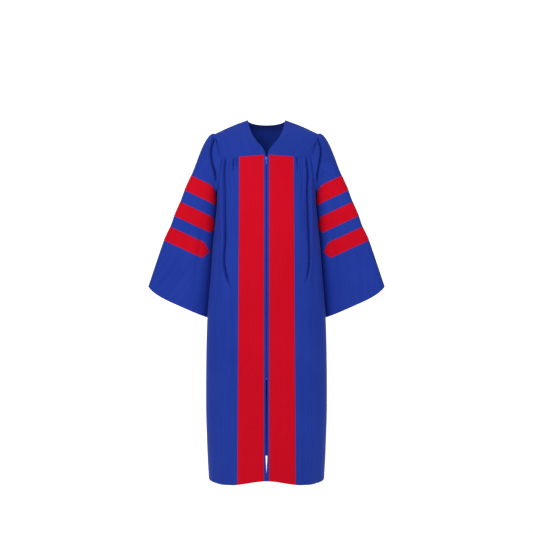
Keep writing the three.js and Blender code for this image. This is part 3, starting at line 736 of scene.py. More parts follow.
@dataclass(frozen=True)
class YokeCut:
    """Edges of the yokes, given on the gown's left and mirrored for its right."""

    neck_line: tuple[tuple[float, float, float], ...] = (
        (69, 10, 0),
        (55, -45, -54),
        (38, -78, -86),
        (21.5, -97, -108),
        (9, -108, -126),
    )
    front_armhole: tuple[tuple[float, float, float], ...] = (
        (187, 4, -51),
        (186, -30, -62),
        (168, -64, -112),
    )
    back_armhole: tuple[tuple[float, float, float], ...] = (
        (187, 4, -51),
        (186, 36, -64),
        (170, 66, -112),
    )
    back_bulge: float = 14
    neck_steps: int = 10
    shoulder_steps: int = 9
    front_steps: int = 40
    back_steps: int = 61

    def shoulder(self) -> list[Array]:
        """Points of the shoulder seam from the neck to the sleeve.

        Returns:
            The points in order.
        """
        start, end = np.array(CUT.neck_point), np.array(CUT.shoulder_tip)
        shares = np.linspace(0.0, 1.0, self.shoulder_steps)
        rise = CUT.shoulder_rise * np.sin(math.pi * shares)
        return [mix(start, end, s) + np.array((0, 0, up)) for s, up in zip(shares, rise)]

    def back_neck(self) -> list[Array]:
        """Points of the back neck from its middle to the neck point.

        Returns:
            The points in order.
        """
        x, y, z = CUT.neck_point
        depth, drop = CUT.back_neck
        points = []
        for turn in np.linspace(QUARTER, 0.0, self.neck_steps):
            reach = math.sin(turn)
            points.append(np.array((x * math.cos(turn), mix(y, depth, reach), mix(z, drop, reach))))
        return points

    def front(self, panel: FrontPanel) -> YokePatch:
        """Left front yoke.

        Args:
            panel: front panel that it is sewn to.

        Returns:
            The patch.
        """
        columns = np.linspace(-2.0, panel.corner, self.front_steps)
        seam = panel.base(columns, np.zeros_like(columns))
        neck = Path([*self.neck_line, seam[0]])
        armhole = Path([*self.front_armhole, seam[-1]])
        return YokePatch(Path(self.shoulder()), Path(seam), neck, armhole)

    def back(self, panel: BackPanel) -> YokePatch:
        """Whole back yoke, from the left sleeve to the right one.

        Args:
            panel: back panel that it is sewn to.

        Returns:
            The patch, which also fills out between the shoulder blades.
        """
        columns = np.linspace(panel.corner, -panel.corner, self.back_steps)
        seam = panel.base(columns, np.zeros_like(columns))
        mirror = np.array((-1, 1, 1))
        half = [*reversed(self.shoulder()), *reversed(self.back_neck()[1:-1])]
        top = [*half, self.back_neck()[0], *[point * mirror for point in reversed(half)]]
        left = Path([*self.back_armhole, seam[0]])
        right = Path([np.array(point) * mirror for point in self.back_armhole] + [seam[-1]])
        return YokePatch(Path(top), Path(seam), left, right, self.back_bulge)


@dataclass(frozen=True)
class SleeveFold:
    """Gather of the sleeve head, by degrees round the ring and reach down the head."""

    turn: float
    depth: float
    width: float
    reach: float

    ONSET = 0.1
    FADE_FROM = 0.5
    SHARPNESS = 1.5
    CREST = 0.25

    def press(self, degrees: Array, reach: Array) -> Array:
        """Depth of the gather.

        Args:
            degrees: places round the ring.
            reach: shares of the head below the armhole.

        Returns:
            Depths, below 0 where the cloth is raised.
        """
        away = np.abs(np.mod(degrees - self.turn + 540, 360) - 180)
        fade = ease(0, self.ONSET, reach) * (1 - ease(self.reach * self.FADE_FROM, self.reach, reach))
        trough = np.exp(-((away / self.width) ** self.SHARPNESS))
        return self.depth * fade * (trough - self.CREST * bell(away - 2 * self.width, self.width))


class Sleeve(ClothSurface):
    """Left bell sleeve.

    Columns are degrees round the ring: 0 at the outer fold, 90 at the back, 180 beside
    the body. Row -1 is the armhole, 0 the end of the gathered head and 7 the cuff.
    """

    RINGS = Table(
        ("ring", "out_x", "out_z", "slope", "in_y", "in_z", "front", "back", "rise"),
        (
            (0, 273, -209, 25, 24, -283, 70, 62, 0),
            (1, 297, -261, 25, 34, -325, 66, 64, 0),
            (2, 313, -302, 25, 40, -365, 62, 65, 0),
            (3, 335, -352, 25, 44, -419, 58, 66, 0),
            (4, 349, -391, 25, 46, -462, 55, 66, 0),
            (5, 372, -440, 25, 48, -520, 53, 67, 0),
            (6, 400, -520, 24, 50, -618, 52, 70, 8),
            (7, 429, -607, 23.5, 52, -726, 54, 74, 24),
        ),
    )
    TANGENTS = Table(
        ("turn", "x", "y", "z"),
        (
            (0, 0.96, 0, 0.26),
            (96, 0.85, 0.4, -0.35),
            (180, 0.35, 0.1, -0.93),
            (264, 0.85, -0.42, -0.33),
            (360, 0.96, 0, 0.26),
        ),
    )
    ROUNDING = {Face.FRONT: 0.56, Face.BACK: 0.88}
    CLEAR = 1.6
    CORNER = 96.0
    DIP_POWER = 8
    RISE_POWER = 4
    LEAVE = 0.63
    ARRIVE = 1.05
    LAP = 2.0
    LAP_GROWS = (0.5, 0.8)
    FRONT_STARTS = (186.0, 200.0)
    FRONT_ENDS = (350.0, 359.0)
    CUFF = 7
    STEP = 2e-3
    OVER_STEP = 0.4

    def __init__(self, front: FrontPanel, back: BackPanel, yokes: tuple[YokePatch, YokePatch],
                 folds: tuple[SleeveFold, ...], creases: tuple[Crease, ...]) -> None:
        """Sets up the sleeve.

        Args:
            front: left front panel, which gives the front of the armhole.
            back: back panel, which gives its back.
            yokes: front and back yoke.
            folds: gathers of the head.
            creases: longer folds on the front of the sleeve.
        """
        self.front, self.back, self.folds, self.creases = front, back, folds, creases
        self.front_edge = yokes[0].last
        self.back_edge = yokes[1].first

    def armhole(self, degrees: Array) -> Array:
        """Points of the armhole seam, along the yokes above and the panels below.

        Args:
            degrees: places round the ring.

        Returns:
            One point for each place.
        """
        behind = degrees < 180
        round_front = 360 - degrees
        from_top = np.where(behind, degrees, round_front)
        share = np.clip((from_top - self.CORNER) / (180.0 - self.CORNER), 0, 1)
        top_share = np.clip(from_top / self.CORNER, 0, 1)
        zero = np.zeros_like(degrees)
        back_low = self.back.base(mix(self.back.corner, 1.0, share), zero)
        front_low = self.front.base(mix(self.front.corner, 1.0, share), zero)
        lower = np.where(behind[..., None], back_low, front_low)
        lower = lower + np.stack([self.LAP * ease(*self.LAP_GROWS, share), zero, zero], axis=-1)
        upper = np.where(behind[..., None], self.back_edge.at(top_share), self.front_edge.at(top_share))
        return np.where((from_top <= self.CORNER)[..., None], upper, lower)

    def ring(self, degrees: Array, row: Array) -> Array:
        """Points of the hanging part of the sleeve, from row 0 down.

        Args:
            degrees: places round the ring.
            row: row values from 0 up.

        Returns:
            One point for each place.
        """
        size = {name: self.RINGS.at(row, name) for name in self.RINGS.columns[1:]}
        cosine, sine = np.cos(np.radians(degrees)), np.sin(np.radians(degrees))
        power = 2 / BODY.rounding
        beside = (1 - (size["in_y"] / BODY.depth(size["in_z"], Face.BACK)) ** power) ** (1 / power)
        in_x = BODY.half(size["in_z"]) * beside + self.CLEAR
        middle, reach = (size["out_x"] + in_x) / 2, (size["out_x"] - in_x) / 2
        rounding = np.where(sine > 0, self.ROUNDING[Face.BACK], self.ROUNDING[Face.FRONT])
        x = middle + reach * signed_power(cosine, rounding)
        inward = (1 - cosine) / 2
        side = np.where(sine > 0, size["back"], size["front"])
        y = size["in_y"] * inward + side * signed_power(sine, rounding)
        fall = np.tan(np.radians(size["slope"]))
        low = size["out_z"] - size["rise"]
        dip = size["in_z"] - (low - fall * (size["out_x"] - in_x))
        rise = size["rise"] * (1 - inward) ** self.RISE_POWER
        z = low - fall * (size["out_x"] - x) + rise + dip * inward**self.DIP_POWER
        return np.stack([x, y, z], axis=-1)

    def base(self, column: Array, row: Array) -> Array:
        """Points of the sleeve before its folds.

        Args:
            column: degrees round the ring.
            row: row values.

        Returns:
            Points in the shape of column and row.
        """
        degrees = np.mod(column, 360.0)
        t = np.clip(row + 1, 0.0, 1.0)[..., None]
        start = self.armhole(degrees)
        end = self.ring(degrees, np.zeros_like(degrees))
        chord = np.linalg.norm(end - start, axis=-1, keepdims=True)
        leave = unit(np.stack([self.TANGENTS.at(degrees, axis) for axis in "xyz"], axis=-1))
        arrive = unit(self.ring(degrees, np.ones_like(degrees)) - end)
        head = (
            start * (1 + 2 * t) * (1 - t) ** 2
            + leave * self.LEAVE * chord * t * (1 - t) ** 2
            + end * t * t * (3 - 2 * t)
            - arrive * self.ARRIVE * chord * t * t * (1 - t)
        )
        return np.where((row < 0)[..., None], head, self.ring(degrees, np.maximum(row, 0.0)))

    def press(self, column: Array, row: Array, points: Array) -> Array:
        """Depth of the gathers, and depth and slide of the folds that show on the front.

        Args:
            column: degrees round the ring.
            row: row values.
            points: points of the smooth cloth there.

        Returns:
            Pairs of a depth and a slide.
        """
        degrees = np.mod(column, 360.0)
        front = ease(*self.FRONT_STARTS, degrees) * (1 - ease(*self.FRONT_ENDS, degrees))
        pressed = super().press(column, row, points) * front[..., None]
        pressed[..., 0] += sum(fold.press(degrees, row + 1) for fold in self.folds)
        return pressed


@dataclass
class Grid:
    """Points of a sheet: rows go down, columns go round, with its own measure of both."""

    points: Array
    wraps: bool = False

    def cells(self) -> tuple[Array, Array]:
        """Places of the faces.

        Returns:
            Row and column of every face's upper left corner.
        """
        rows, columns = self.points.shape[:2]
        last = columns if self.wraps else columns - 1
        r, c = np.meshgrid(np.arange(rows - 1), np.arange(last), indexing="ij")
        return r.ravel(), c.ravel()

    def quads(self) -> Array:
        """Faces of the sheet.

        Returns:
            Corner indices of each face, anticlockwise from outside.
        """
        (r, c), columns = self.cells(), self.points.shape[1]
        after = (c + 1) % columns
        corners = (r * columns + c, (r + 1) * columns + c, (r + 1) * columns + after, r * columns + after)
        return np.stack(corners, axis=-1)

    def runs(self) -> Array:
        """Cloth measured from its upper left corner, for the patterns on it.

        Returns:
            Distance across and down at each point, in metres.
        """
        points = np.concatenate([self.points, self.points[:, :1]], axis=1) if self.wraps else self.points
        across, fall = np.zeros(points.shape[:2]), np.zeros(points.shape[:2])
        across[:, 1:] = np.cumsum(np.linalg.norm(np.diff(points, axis=1), axis=2), axis=1)
        fall[1:] = np.cumsum(np.linalg.norm(np.diff(points, axis=0), axis=2), axis=0)
        return np.stack([across, -fall], axis=-1) * MM

    def loops(self) -> Array:
        """Pattern place of each face corner, in the order of quads."""
        runs, (r, c) = self.runs(), self.cells()
        return np.stack([runs[r, c], runs[r + 1, c], runs[r + 1, c + 1], runs[r, c + 1]], axis=1)

    def area(self) -> float:
        """Area of the sheet.

        Returns:
            Square metres.
        """
        corners = self.points.reshape(-1, 3)[self.quads()]
        middle = corners[:, 2] - corners[:, 0]
        first = np.cross(corners[:, 1] - corners[:, 0], middle)
        second = np.cross(middle, corners[:, 3] - corners[:, 0])
        total = np.linalg.norm(first, axis=1).sum() + np.linalg.norm(second, axis=1).sum()
        return float(total) / 2 * MM * MM


class Bench:
    """Mesh and modifier work shared by every piece."""

    GRAIN = "grain"
    CLOTH_ANGLE = 50.0

    @classmethod
    def take(cls, *pieces: bpy.types.Object) -> None:
        """Selects these objects alone and makes the first one active.

        Args:
            pieces: objects to select.
        """
        for item in bpy.context.selected_objects:
            item.select_set(False)
        for piece in pieces:
            piece.select_set(True)
        bpy.context.view_layer.objects.active = pieces[0]

    @classmethod
    def mesh(cls, name: str, points: Array, faces: Sequence[Sequence[int]]) -> bpy.types.Object:
        """Makes an object from points in millimetres.

        Args:
            name: object's name.
            points: one row a point.
            faces: corner indices of each face.

        Returns:
            The new object, linked to the scene.
        """
        data = bpy.data.meshes.new(name)
        data.from_pydata((np.asarray(points) * MM).tolist(), [], [list(map(int, f)) for f in faces])
        data.update()
        piece = bpy.data.objects.new(name, data)
        bpy.context.scene.collection.objects.link(piece)
        return piece

    @classmethod
    def sheet(cls, name: str, grid: Grid, thickness: float) -> bpy.types.Object:
        """Makes a closed thin shell on a grid, with the grain as its UV map.

        Args:
            name: object's name.
            grid: points of the middle of the cloth.
            thickness: thickness of the cloth in millimetres.

        Returns:
            The finished shell.
        """
        piece = cls.mesh(name, grid.points.reshape(-1, 3), grid.quads())
        layer = piece.data.uv_layers.new(name=cls.GRAIN)
        layer.data.foreach_set("uv", grid.loops().astype(np.float32).ravel())
        cls.apply(piece, "SOLIDIFY", thickness=thickness * MM, offset=0.0, use_even_offset=False)
        cls.smooth(piece, cls.CLOTH_ANGLE)
        return piece

    @classmethod
    def apply(cls, piece: bpy.types.Object, kind: str, **settings: object) -> None:
        """Adds one modifier and applies it.

        Args:
            piece: object that it is for.
            kind: type of the modifier.
            settings: its properties.
        """
        cls.take(piece)
        modifier = piece.modifiers.new(kind.lower(), kind)
        for name, value in settings.items():
            setattr(modifier, name, value)
        bpy.ops.object.modifier_apply(modifier=modifier.name)

    @classmethod
    def smooth(cls, piece: bpy.types.Object, degrees: float) -> None:
        """Smooths the shading up to an angle between faces."""
        cls.take(piece)
        bpy.ops.object.shade_smooth_by_angle(angle=math.radians(degrees))

    @classmethod
    def edit(cls, piece: bpy.types.Object, *steps: tuple[Callable, dict[str, object]]) -> None:
        """Runs mesh operators on the whole of a piece in edit mode.

        Args:
            piece: object to work on.
            steps: operators, each with its settings.
        """
        cls.take(piece)
        bpy.ops.object.mode_set(mode="EDIT")
        bpy.ops.mesh.select_all(action="SELECT")
        for operator, settings in steps:
            operator(**settings)
        bpy.ops.object.mode_set(mode="OBJECT")

    @classmethod
    def dress(cls, piece: bpy.types.Object, dye: "Dye", body: str, node: str | None = None) -> None:
        """Gives a piece its one material, says what body it rides on and hides the node that it replaces.

        Args:
            piece: finished object.
            dye: its material and slot.
            body: body that it rides on.
            node: node that it replaces, if it does.
        """
        piece.data.materials.clear()
        piece.data.materials.append(dye.material)
        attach(piece, body)
        if node:
            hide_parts(node)


@dataclass(frozen=True)
class Dye:
    """Material of a piece with the record's slot that it belongs to."""

    material: bpy.types.Material
    slot: str


class Nodes:
    """Short way to wire the nodes of one material."""

    def __init__(self, name: str) -> None:
        """Starts a material with a principled shader.

        Args:
            name: material's name.
        """
        self.material = bpy.data.materials.new(name)
        self.material.use_nodes = True
        self.tree = self.material.node_tree
        self.shader = self.tree.nodes["Principled BSDF"]

    def add(self, kind: str, inputs: dict[str, object] | None = None, **settings: object) -> bpy.types.Node:
        """Adds a node.

        Args:
            kind: node type without its ShaderNode prefix.
            inputs: values or output sockets for its inputs, by name.
            settings: properties of the node.

        Returns:
            The new node.
        """
        node = self.tree.nodes.new(f"ShaderNode{kind}")
        for name, value in settings.items():
            setattr(node, name, value)
        for name, value in (inputs or {}).items():
            self.plug(node.inputs[name], value)
        return node

    def plug(self, socket: bpy.types.NodeSocket, value: object) -> None:
        """Links a socket to an output, or sets its value.

        Args:
            socket: input to fill.
            value: output socket, number or colour.
        """
        if isinstance(value, bpy.types.NodeSocket):
            self.tree.links.new(value, socket)
        else:
            socket.default_value = value

    def finish(self, inputs: dict[str, object]) -> bpy.types.Material:
        """Fills the shader's inputs.

        Args:
            inputs: values or output sockets, by the name of the input.

        Returns:
            The material.
        """
        for name, value in inputs.items():
            self.plug(self.shader.inputs[name], value)
        return self.material

    def place(self) -> bpy.types.NodeSocket:
        """Place on the piece."""
        return self.add("TexCoord").outputs["Object"]

    def mapped(self, source: bpy.types.NodeSocket, scale: tuple[float, float, float]) -> bpy.types.NodeSocket:
        """Coordinates stretched by a scale."""
        return self.add("Mapping", {"Vector": source, "Scale": scale}).outputs["Vector"]

    def noise(self, source: bpy.types.NodeSocket, scale: float, detail: float) -> bpy.types.NodeSocket:
        """Noise value between 0 and 1."""
        return self.add("TexNoise", {"Vector": source, "Scale": scale, "Detail": detail}).outputs["Fac"]

    def spread(self, value: bpy.types.NodeSocket, low: float, high: float) -> bpy.types.NodeSocket:
        """Value brought from between low and high to between 0 and 1."""
        return self.add("MapRange", {"Value": value, "From Min": low, "From Max": high}).outputs["Result"]

    def blend(self, share: object, first: object, second: object) -> bpy.types.NodeSocket:
        """Mix of two colours.

        Args:
            share: 0 for the first colour and 1 for the second one.
            first: colour or output socket.
            second: colour or output socket.

        Returns:
            The mixed colour's socket.
        """
        node = self.add("Mix", data_type="RGBA")
        sockets = (node.inputs["Factor"], node.inputs[6], node.inputs[7])
        for socket, value in zip(sockets, (share, first, second)):
            self.plug(socket, value)
        return node.outputs[2]

    def sum(self, first: object, second: object, kind: str = "ADD") -> bpy.types.NodeSocket:
        """Sum, or another operation, of two values.

        Args:
            first: number or output socket.
            second: number or output socket.
            kind: operation.

        Returns:
            The result's socket.
        """
        node = self.add("Math", operation=kind)
        self.plug(node.inputs[0], first)
        self.plug(node.inputs[1], second)
        return node.outputs[0]

    def bump(self, height: object, distance: float, strength: float,
             before: object = None) -> bpy.types.NodeSocket:
        """Bumped normal.

        Args:
            height: output socket of the heights.
            distance: distance that a height of 1 stands for, in metres.
            strength: share of the bump that shows.
            before: earlier normal to lie on.

        Returns:
            The normal's socket.
        """
        inputs = {"Height": height, "Distance": distance, "Strength": strength}
        if before is not None:
            inputs["Normal"] = before
        return self.add("Bump", inputs).outputs["Normal"]


def shade(red: float, green: float, blue: float) -> Colour:
    """Linear colour from its 0 to 255 screen values.

    Args:
        red: red value.
        green: green value.
        blue: blue value.

    Returns:
        Colour with full alpha.
    """
    linear = []
    for value in (red, green, blue):
        share = value / 255
        linear.append(share / 12.92 if share <= 0.04045 else ((share + 0.055) / 1.055) ** 2.4)
    return (linear[0], linear[1], linear[2], 1.0)


def toned(colour: Colour, share: float) -> Colour:
    """Colour made darker, or lighter up to white."""
    return tuple(min(1.0, value * share) for value in colour[:3]) + (1.0,)


@dataclass(frozen=True)
class WovenCloth:
    """Plain woven polyester with faint streaks along its grain, slubs and soft rumples."""

    name: str
    light: Colour
    dark: Colour
    roughness: float = 0.74
    unevenness: float = 0.06
    sheen: float = 0.03
    sheen_roughness: float = 0.45
    shine: float = 0.07
    thread: float = 0.0005
    streak: tuple[float, float, float] = (210.0, 2.6, 1.0)
    slub: tuple[float, float, float] = (900.0, 26.0, 1.0)
    rumple: tuple[float, float, float] = (16.0, 7.0, 1.0)
    cloud: float = 5.5
    tones: tuple[float, float] = (1.05, 1.95)
    rumple_bump: tuple[float, float] = (0.004, 0.55)
    streak_bump: tuple[float, float] = (0.0006, 0.5)
    weave_bump: tuple[float, float] = (0.00012, 0.5)

    WAVE_SCALE = 20

    def material(self) -> bpy.types.Material:
        """Builds the material.

        Returns:
            The finished material.
        """
        nodes = Nodes(self.name)
        grain = nodes.add("UVMap", uv_map=Bench.GRAIN).outputs["UV"]
        place = nodes.place()
        streaks = nodes.noise(nodes.mapped(grain, self.streak), 1.0, 3.0)
        slubs = nodes.noise(nodes.mapped(grain, self.slub), 1.0, 2.0)
        clouds = nodes.noise(place, self.cloud, 3.0)
        share = nodes.spread(nodes.sum(nodes.sum(streaks, slubs), clouds), *self.tones)
        low, high = self.roughness - self.unevenness, self.roughness + self.unevenness
        rough = nodes.add("MapRange", {"Value": slubs, "To Min": low, "To Max": high}).outputs["Result"]
        rumples = nodes.noise(nodes.mapped(grain, self.rumple), 1.0, 3.0)
        normal = nodes.bump(streaks, *self.streak_bump, nodes.bump(rumples, *self.rumple_bump))
        wave = {"Vector": grain, "Scale": 2 * math.pi / (self.WAVE_SCALE * 2 * self.thread)}
        warp, weft = (nodes.add("TexWave", wave, bands_direction=way).outputs["Fac"] for way in "XY")
        weave = nodes.sum(warp, weft, "MAXIMUM")
        return nodes.finish({
            "Base Color": nodes.blend(share, self.dark, self.light),
            "Roughness": rough,
            "Specular IOR Level": self.shine,
            "Sheen Weight": self.sheen,
            "Sheen Roughness": self.sheen_roughness,
            "Normal": nodes.bump(weave, *self.weave_bump, normal),
        })


@dataclass(frozen=True)
class Thread:
    """Twisted sewing thread."""

    name: str
    colour: Colour
    twist: float = 900.0
    wander: float = 2.0
    shadow: float = 0.72
    roughness: float = 0.55
    relief: tuple[float, float] = (0.0001, 0.6)

    def material(self) -> bpy.types.Material:
        """Builds the material.

        Returns:
            The finished material.
        """
        nodes = Nodes(self.name)
        wave = {"Vector": nodes.place(), "Scale": self.twist, "Distortion": self.wander}
        twist = nodes.add("TexWave", wave, bands_direction="DIAGONAL").outputs["Fac"]
        return nodes.finish({
            "Base Color": nodes.blend(twist, toned(self.colour, self.shadow), self.colour),
            "Roughness": self.roughness,
            "Normal": nodes.bump(twist, *self.relief),
        })


@dataclass(frozen=True)
class NylonCoil:
    """Moulded nylon of the zip."""

    name: str
    colour: Colour
    speck: float = 700.0
    shadow: float = 0.75
    roughness: float = 0.6
    shine: float = 0.2
    relief: tuple[float, float] = (0.0001, 0.2)

    def material(self) -> bpy.types.Material:
        """Builds the material.

        Returns:
            The finished material.
        """
        nodes = Nodes(self.name)
        specks = nodes.noise(nodes.place(), self.speck, 2.0)
        return nodes.finish({
            "Base Color": nodes.blend(specks, toned(self.colour, self.shadow), self.colour),
            "Roughness": self.roughness,
            "Specular IOR Level": self.shine,
            "Normal": nodes.bump(specks, *self.relief),
        })


@dataclass(frozen=True)
class Enamel:
    """Painted zinc of the slider and its tab, lighter at its edges with worn paint and a painted highlight.
    """

    name: str
    colour: Colour
    wear_and_highlight: Colour
    edge: tuple[float, float] = (0.56, 0.66)
    patch: float = 900.0
    patches: tuple[float, float] = (0.45, 0.62)
    mottle: float = 260.0
    glint: float = 1.25
    metallic: float = 0.35
    roughness: float = 0.3
    relief: tuple[float, float] = (0.0001, 0.25)

    def material(self) -> bpy.types.Material:
        """Builds the material.

        Returns:
            The finished material.
        """
        nodes = Nodes(self.name)
        place = nodes.place()
        edge = nodes.spread(nodes.add("NewGeometry").outputs["Pointiness"], *self.edge)
        patches = nodes.spread(nodes.noise(place, self.patch, 3.0), *self.patches)
        mottle = nodes.noise(place, self.mottle, 3.0)
        paint = nodes.blend(mottle, self.colour, toned(self.colour, self.glint))
        return nodes.finish({
            # Convex edges and patches take the second colour, which is worn paint together with a painted
            # highlight.
            "Base Color": nodes.blend(nodes.sum(edge, patches, "MULTIPLY"), paint, self.wear_and_highlight),
            "Metallic": self.metallic,
            "Roughness": self.roughness,
            "Normal": nodes.bump(mottle, *self.relief),
        })


BLUE = WovenCloth("royal_blue_cloth", shade(38, 66, 170), shade(30, 55, 156))
RED = WovenCloth("bright_red_cloth", shade(218, 6, 36), shade(206, 3, 30))
BLUE_THREAD = Thread("blue_thread", shade(32, 56, 150))
RED_THREAD = Thread("red_thread", shade(196, 4, 28))
COIL = NylonCoil("blue_nylon", shade(38, 66, 172))
# The second colour is worn paint and a painted highlight on the slider's edges.
ZINC = Enamel("blue_enamel", shade(40, 72, 178), shade(130, 140, 165))

GATHER = FoldStyle()
PLEAT = FoldStyle(0.5, 0.03, 0.22, 1.5)
SWELL = FoldStyle(0.2, 0.2, 0.3)
TUCK = FoldStyle(0.4, 0.05, 0.5, 1.0)
RIPPLE = FoldStyle(0.3, 0.05)
PUCKER = FoldStyle(0.4, 0.3)
DRIFT = FoldStyle(0.3, 0.3)
TO_HEM = FoldStyle(0.3, 0.3, 0.02)
HEAD_PLEAT = FoldStyle(0.5, 0.05, 0.25, 1.4)
HEAD_TUCK = FoldStyle(0.3, 0.1)

LEFT_CREASES = (
    Crease(((143, -150), (151, -214), (150, -281), (153, -365), (155, -431),
            (156, -499), (151, -549), (139, -592), (126, -622)), 18.0, 3.9, PLEAT),
    Crease(((146, -190), (147, -300), (150, -440), (149, -540)), 3.2, 9.0, SWELL),
    Crease(((107, -152), (110, -176), (110, -205)), 7.0, 3.0, TUCK),
    Crease(((118, -152), (121, -180), (120, -236)), 2.6, 3.4, RIPPLE),
    Crease(((127, -151), (130, -185), (128, -262), (124, -330)), 3.6, 3.4, RIPPLE),
    Crease(((151, -249), (158, -253), (166, -250)), 3.0, 2.8, PUCKER),
    Crease(((176, -330), (170, -470), (172, -640), (178, -800)), 4.2, 11.0, DRIFT),
    Crease(((186, -560), (182, -800), (179, -1060), (178, -1340)), 5.0, 20.0, TO_HEM),
    Crease(((128, -700), (131, -900), (134, -1100), (136, -1340)), 3.5, 16.0, TO_HEM),
)
RIGHT_CREASES = (
    Crease(((148, -150), (153, -198), (155, -248), (153, -347), (151, -431),
            (154, -515), (142, -574), (124, -613), (112, -634)), 19.0, 4.0, PLEAT),
    Crease(((147, -190), (148, -330), (147, -440), (146, -540)), 3.4, 9.0, SWELL),
    Crease(((105, -152), (106, -172), (104, -196)), 5.0, 2.8, TUCK),
    Crease(((117, -152), (119, -178), (118, -214)), 7.5, 3.2, TUCK),
    Crease(((131, -151), (135, -190), (133, -250), (130, -300)), 3.0, 3.4, RIPPLE),
    Crease(((150, -244), (157, -251), (167, -249)), 3.4, 2.8, PUCKER),
    Crease(((174, -320), (169, -450), (173, -600), (180, -760)), 4.0, 11.0, DRIFT),
    Crease(((186, -560), (182, -800), (178, -1060), (178, -1340)), 5.0, 20.0, TO_HEM),
    Crease(((128, -700), (131, -900), (134, -1100), (136, -1340)), 3.5, 16.0, TO_HEM),
)
YOKE_Z = -152
GATHER_SPREAD = 1.4
GATHER_WIDTH = 3.8
BACK_GATHERS = tuple(
    Crease(
        ((x, YOKE_Z), (x + lean, YOKE_Z - reach / 2), (x + lean * GATHER_SPREAD, YOKE_Z - reach)),
        depth, GATHER_WIDTH, GATHER,
    )
    for x, lean, reach, depth in (
        (-144, -6, 70, 3.0), (-133, -3, 110, 2.4), (-118, -4, 60, 2.8), (-104, -1, 130, 2.6),
        (-91, -2, 55, 2.2), (-76, -3, 90, 2.8), (-62, 1, 140, 2.4), (-49, -1, 60, 2.6),
        (-33, 0, 100, 2.2), (-19, 2, 50, 2.4), (-5, 0, 120, 2.8), (10, 1, 70, 2.2),
        (24, -1, 95, 2.6), (41, 2, 55, 2.4), (55, 1, 130, 2.8), (70, 3, 75, 2.2),
        (84, 0, 105, 2.6), (99, 2, 60, 2.8), (113, 3, 120, 2.4), (128, 4, 80, 2.6),
        (141, 6, 65, 3.0),
    )
)
LEFT_HEAD = tuple(
    SleeveFold(*fold)
    for fold in (
        (352, 3.0, 4.0, 0.4), (338, 3.0, 4.0, 0.35), (324, 1.2, 3.6, 0.3), (310, 1.4, 3.6, 0.25),
        (296, 1.2, 3.6, 0.3), (280, 1.6, 4.0, 0.3), (12, 4.0, 4.5, 0.5), (27, 6.5, 5.0, 0.9),
        (42, 4.0, 4.2, 0.6), (56, 8.0, 5.5, 1.3), (74, 4.5, 5.0, 0.8), (92, 4.0, 5.5, 0.7),
    )
)
RIGHT_HEAD = tuple(
    SleeveFold(*fold)
    for fold in (
        (350, 3.6, 4.0, 0.4), (336, 2.8, 4.0, 0.35), (321, 1.4, 3.6, 0.3), (307, 1.2, 3.6, 0.25),
        (292, 1.4, 3.6, 0.3), (277, 1.4, 4.0, 0.3), (15, 4.5, 4.5, 0.6), (31, 6.0, 5.0, 1.0),
        (47, 4.5, 4.6, 0.7), (63, 7.5, 5.5, 1.2), (82, 4.5, 5.0, 0.8),
    )
)
LOW_SLEEVE_CREASES = (
    Crease(((222, -330), (240, -460), (258, -590), (268, -690)), 3.2, 10.0, DRIFT),
    Crease(((262, -470), (300, -560), (330, -640)), 2.0, 12.0, FoldStyle(onset=0.4)),
    Crease(((240, -190), (262, -240), (280, -300)), 1.8, 9.0, FoldStyle(onset=0.35)),
)
LEFT_SLEEVE_CREASES = (
    Crease(((183, -69), (197, -110), (195, -149), (186, -198), (178, -255)), 15.0, 4.6, HEAD_PLEAT),
    Crease(((178, -74), (173, -100), (167, -126), (161, -150)), 5.0, 2.8, HEAD_TUCK),
    Crease(((196, -150), (204, -196), (203, -246)), 3.0, 6.0, DRIFT),
    *LOW_SLEEVE_CREASES,
)
RIGHT_SLEEVE_CREASES = (
    Crease(((188, -68), (201, -120), (197, -163), (186, -205), (180, -251)), 16.0, 4.6, HEAD_PLEAT),
    Crease(((181, -72), (175, -100), (168, -128), (162, -152)), 5.0, 2.8, HEAD_TUCK),
    Crease(((206, -140), (212, -190), (209, -240)), 3.0, 6.0, DRIFT),
    *LOW_SLEEVE_CREASES,
)


@dataclass(frozen=True)
class Bar:
    """One bar of a sleeve, by its ring and its reach from the outer fold to each point."""

    ring: int
    front: float
    back: float

    WIDTH = 53.0
    POINT = 26.0
    TIP = 0.02

    def height(self, distance: Array) -> Array:
        """Share of the ring's height that the bar covers.

        Args:
            distance: walk from the outer fold, below 0 in front.

        Returns:
            Shares, falling at both points.
        """
        limit = np.where(distance < 0, self.front, self.back)
        return np.clip((limit - np.abs(distance)) / self.POINT, self.TIP, 1.0)


BARS = (Bar(0, 190, 176), Bar(2, 204, 202), Bar(4, 202, 202))


def edged_steps(count: int, length: float, near: tuple[float, ...] = (0.9, 2.4, 5.0)) -> Array:
    """Shares from 0 to 1 that crowd at both ends.

    Args:
        count: even steps between the crowded ends.
        length: length that the shares stand for.
        near: distances of the extra points from each end.

    Returns:
        Rising shares.
    """
    ends = np.array(near) / length
    middle = np.linspace(ends[-1], 1 - ends[-1], count)
    return np.concatenate([[0.0], ends[:-1], middle, (1 - ends[:-1])[::-1], [1.0]])


@dataclass(frozen=True)
class Run:
    """Points down or across a sheet, with the lift of its two ends that dies away from them."""

    shares: Array
    length: float
    start: float = 0.0
    end: float = 0.0

    REACH = 1.6

    def lift(self) -> Array:
        """Lifts along the run.

        Returns:
            One lift for each point.
        """
        first, last = np.maximum(self.shares, 0.0), np.maximum(1 - self.shares, 0.0)
        ends = ((self.start, first), (self.end, last))
        return sum(lift * bell(share * self.length, self.REACH) for lift, share in ends)


def rim(down: Run, across: Run) -> Array:
    """Lift of a sheet's points from that of its four edges."""
    return down.lift()[:, None] + across.lift()[None, :]


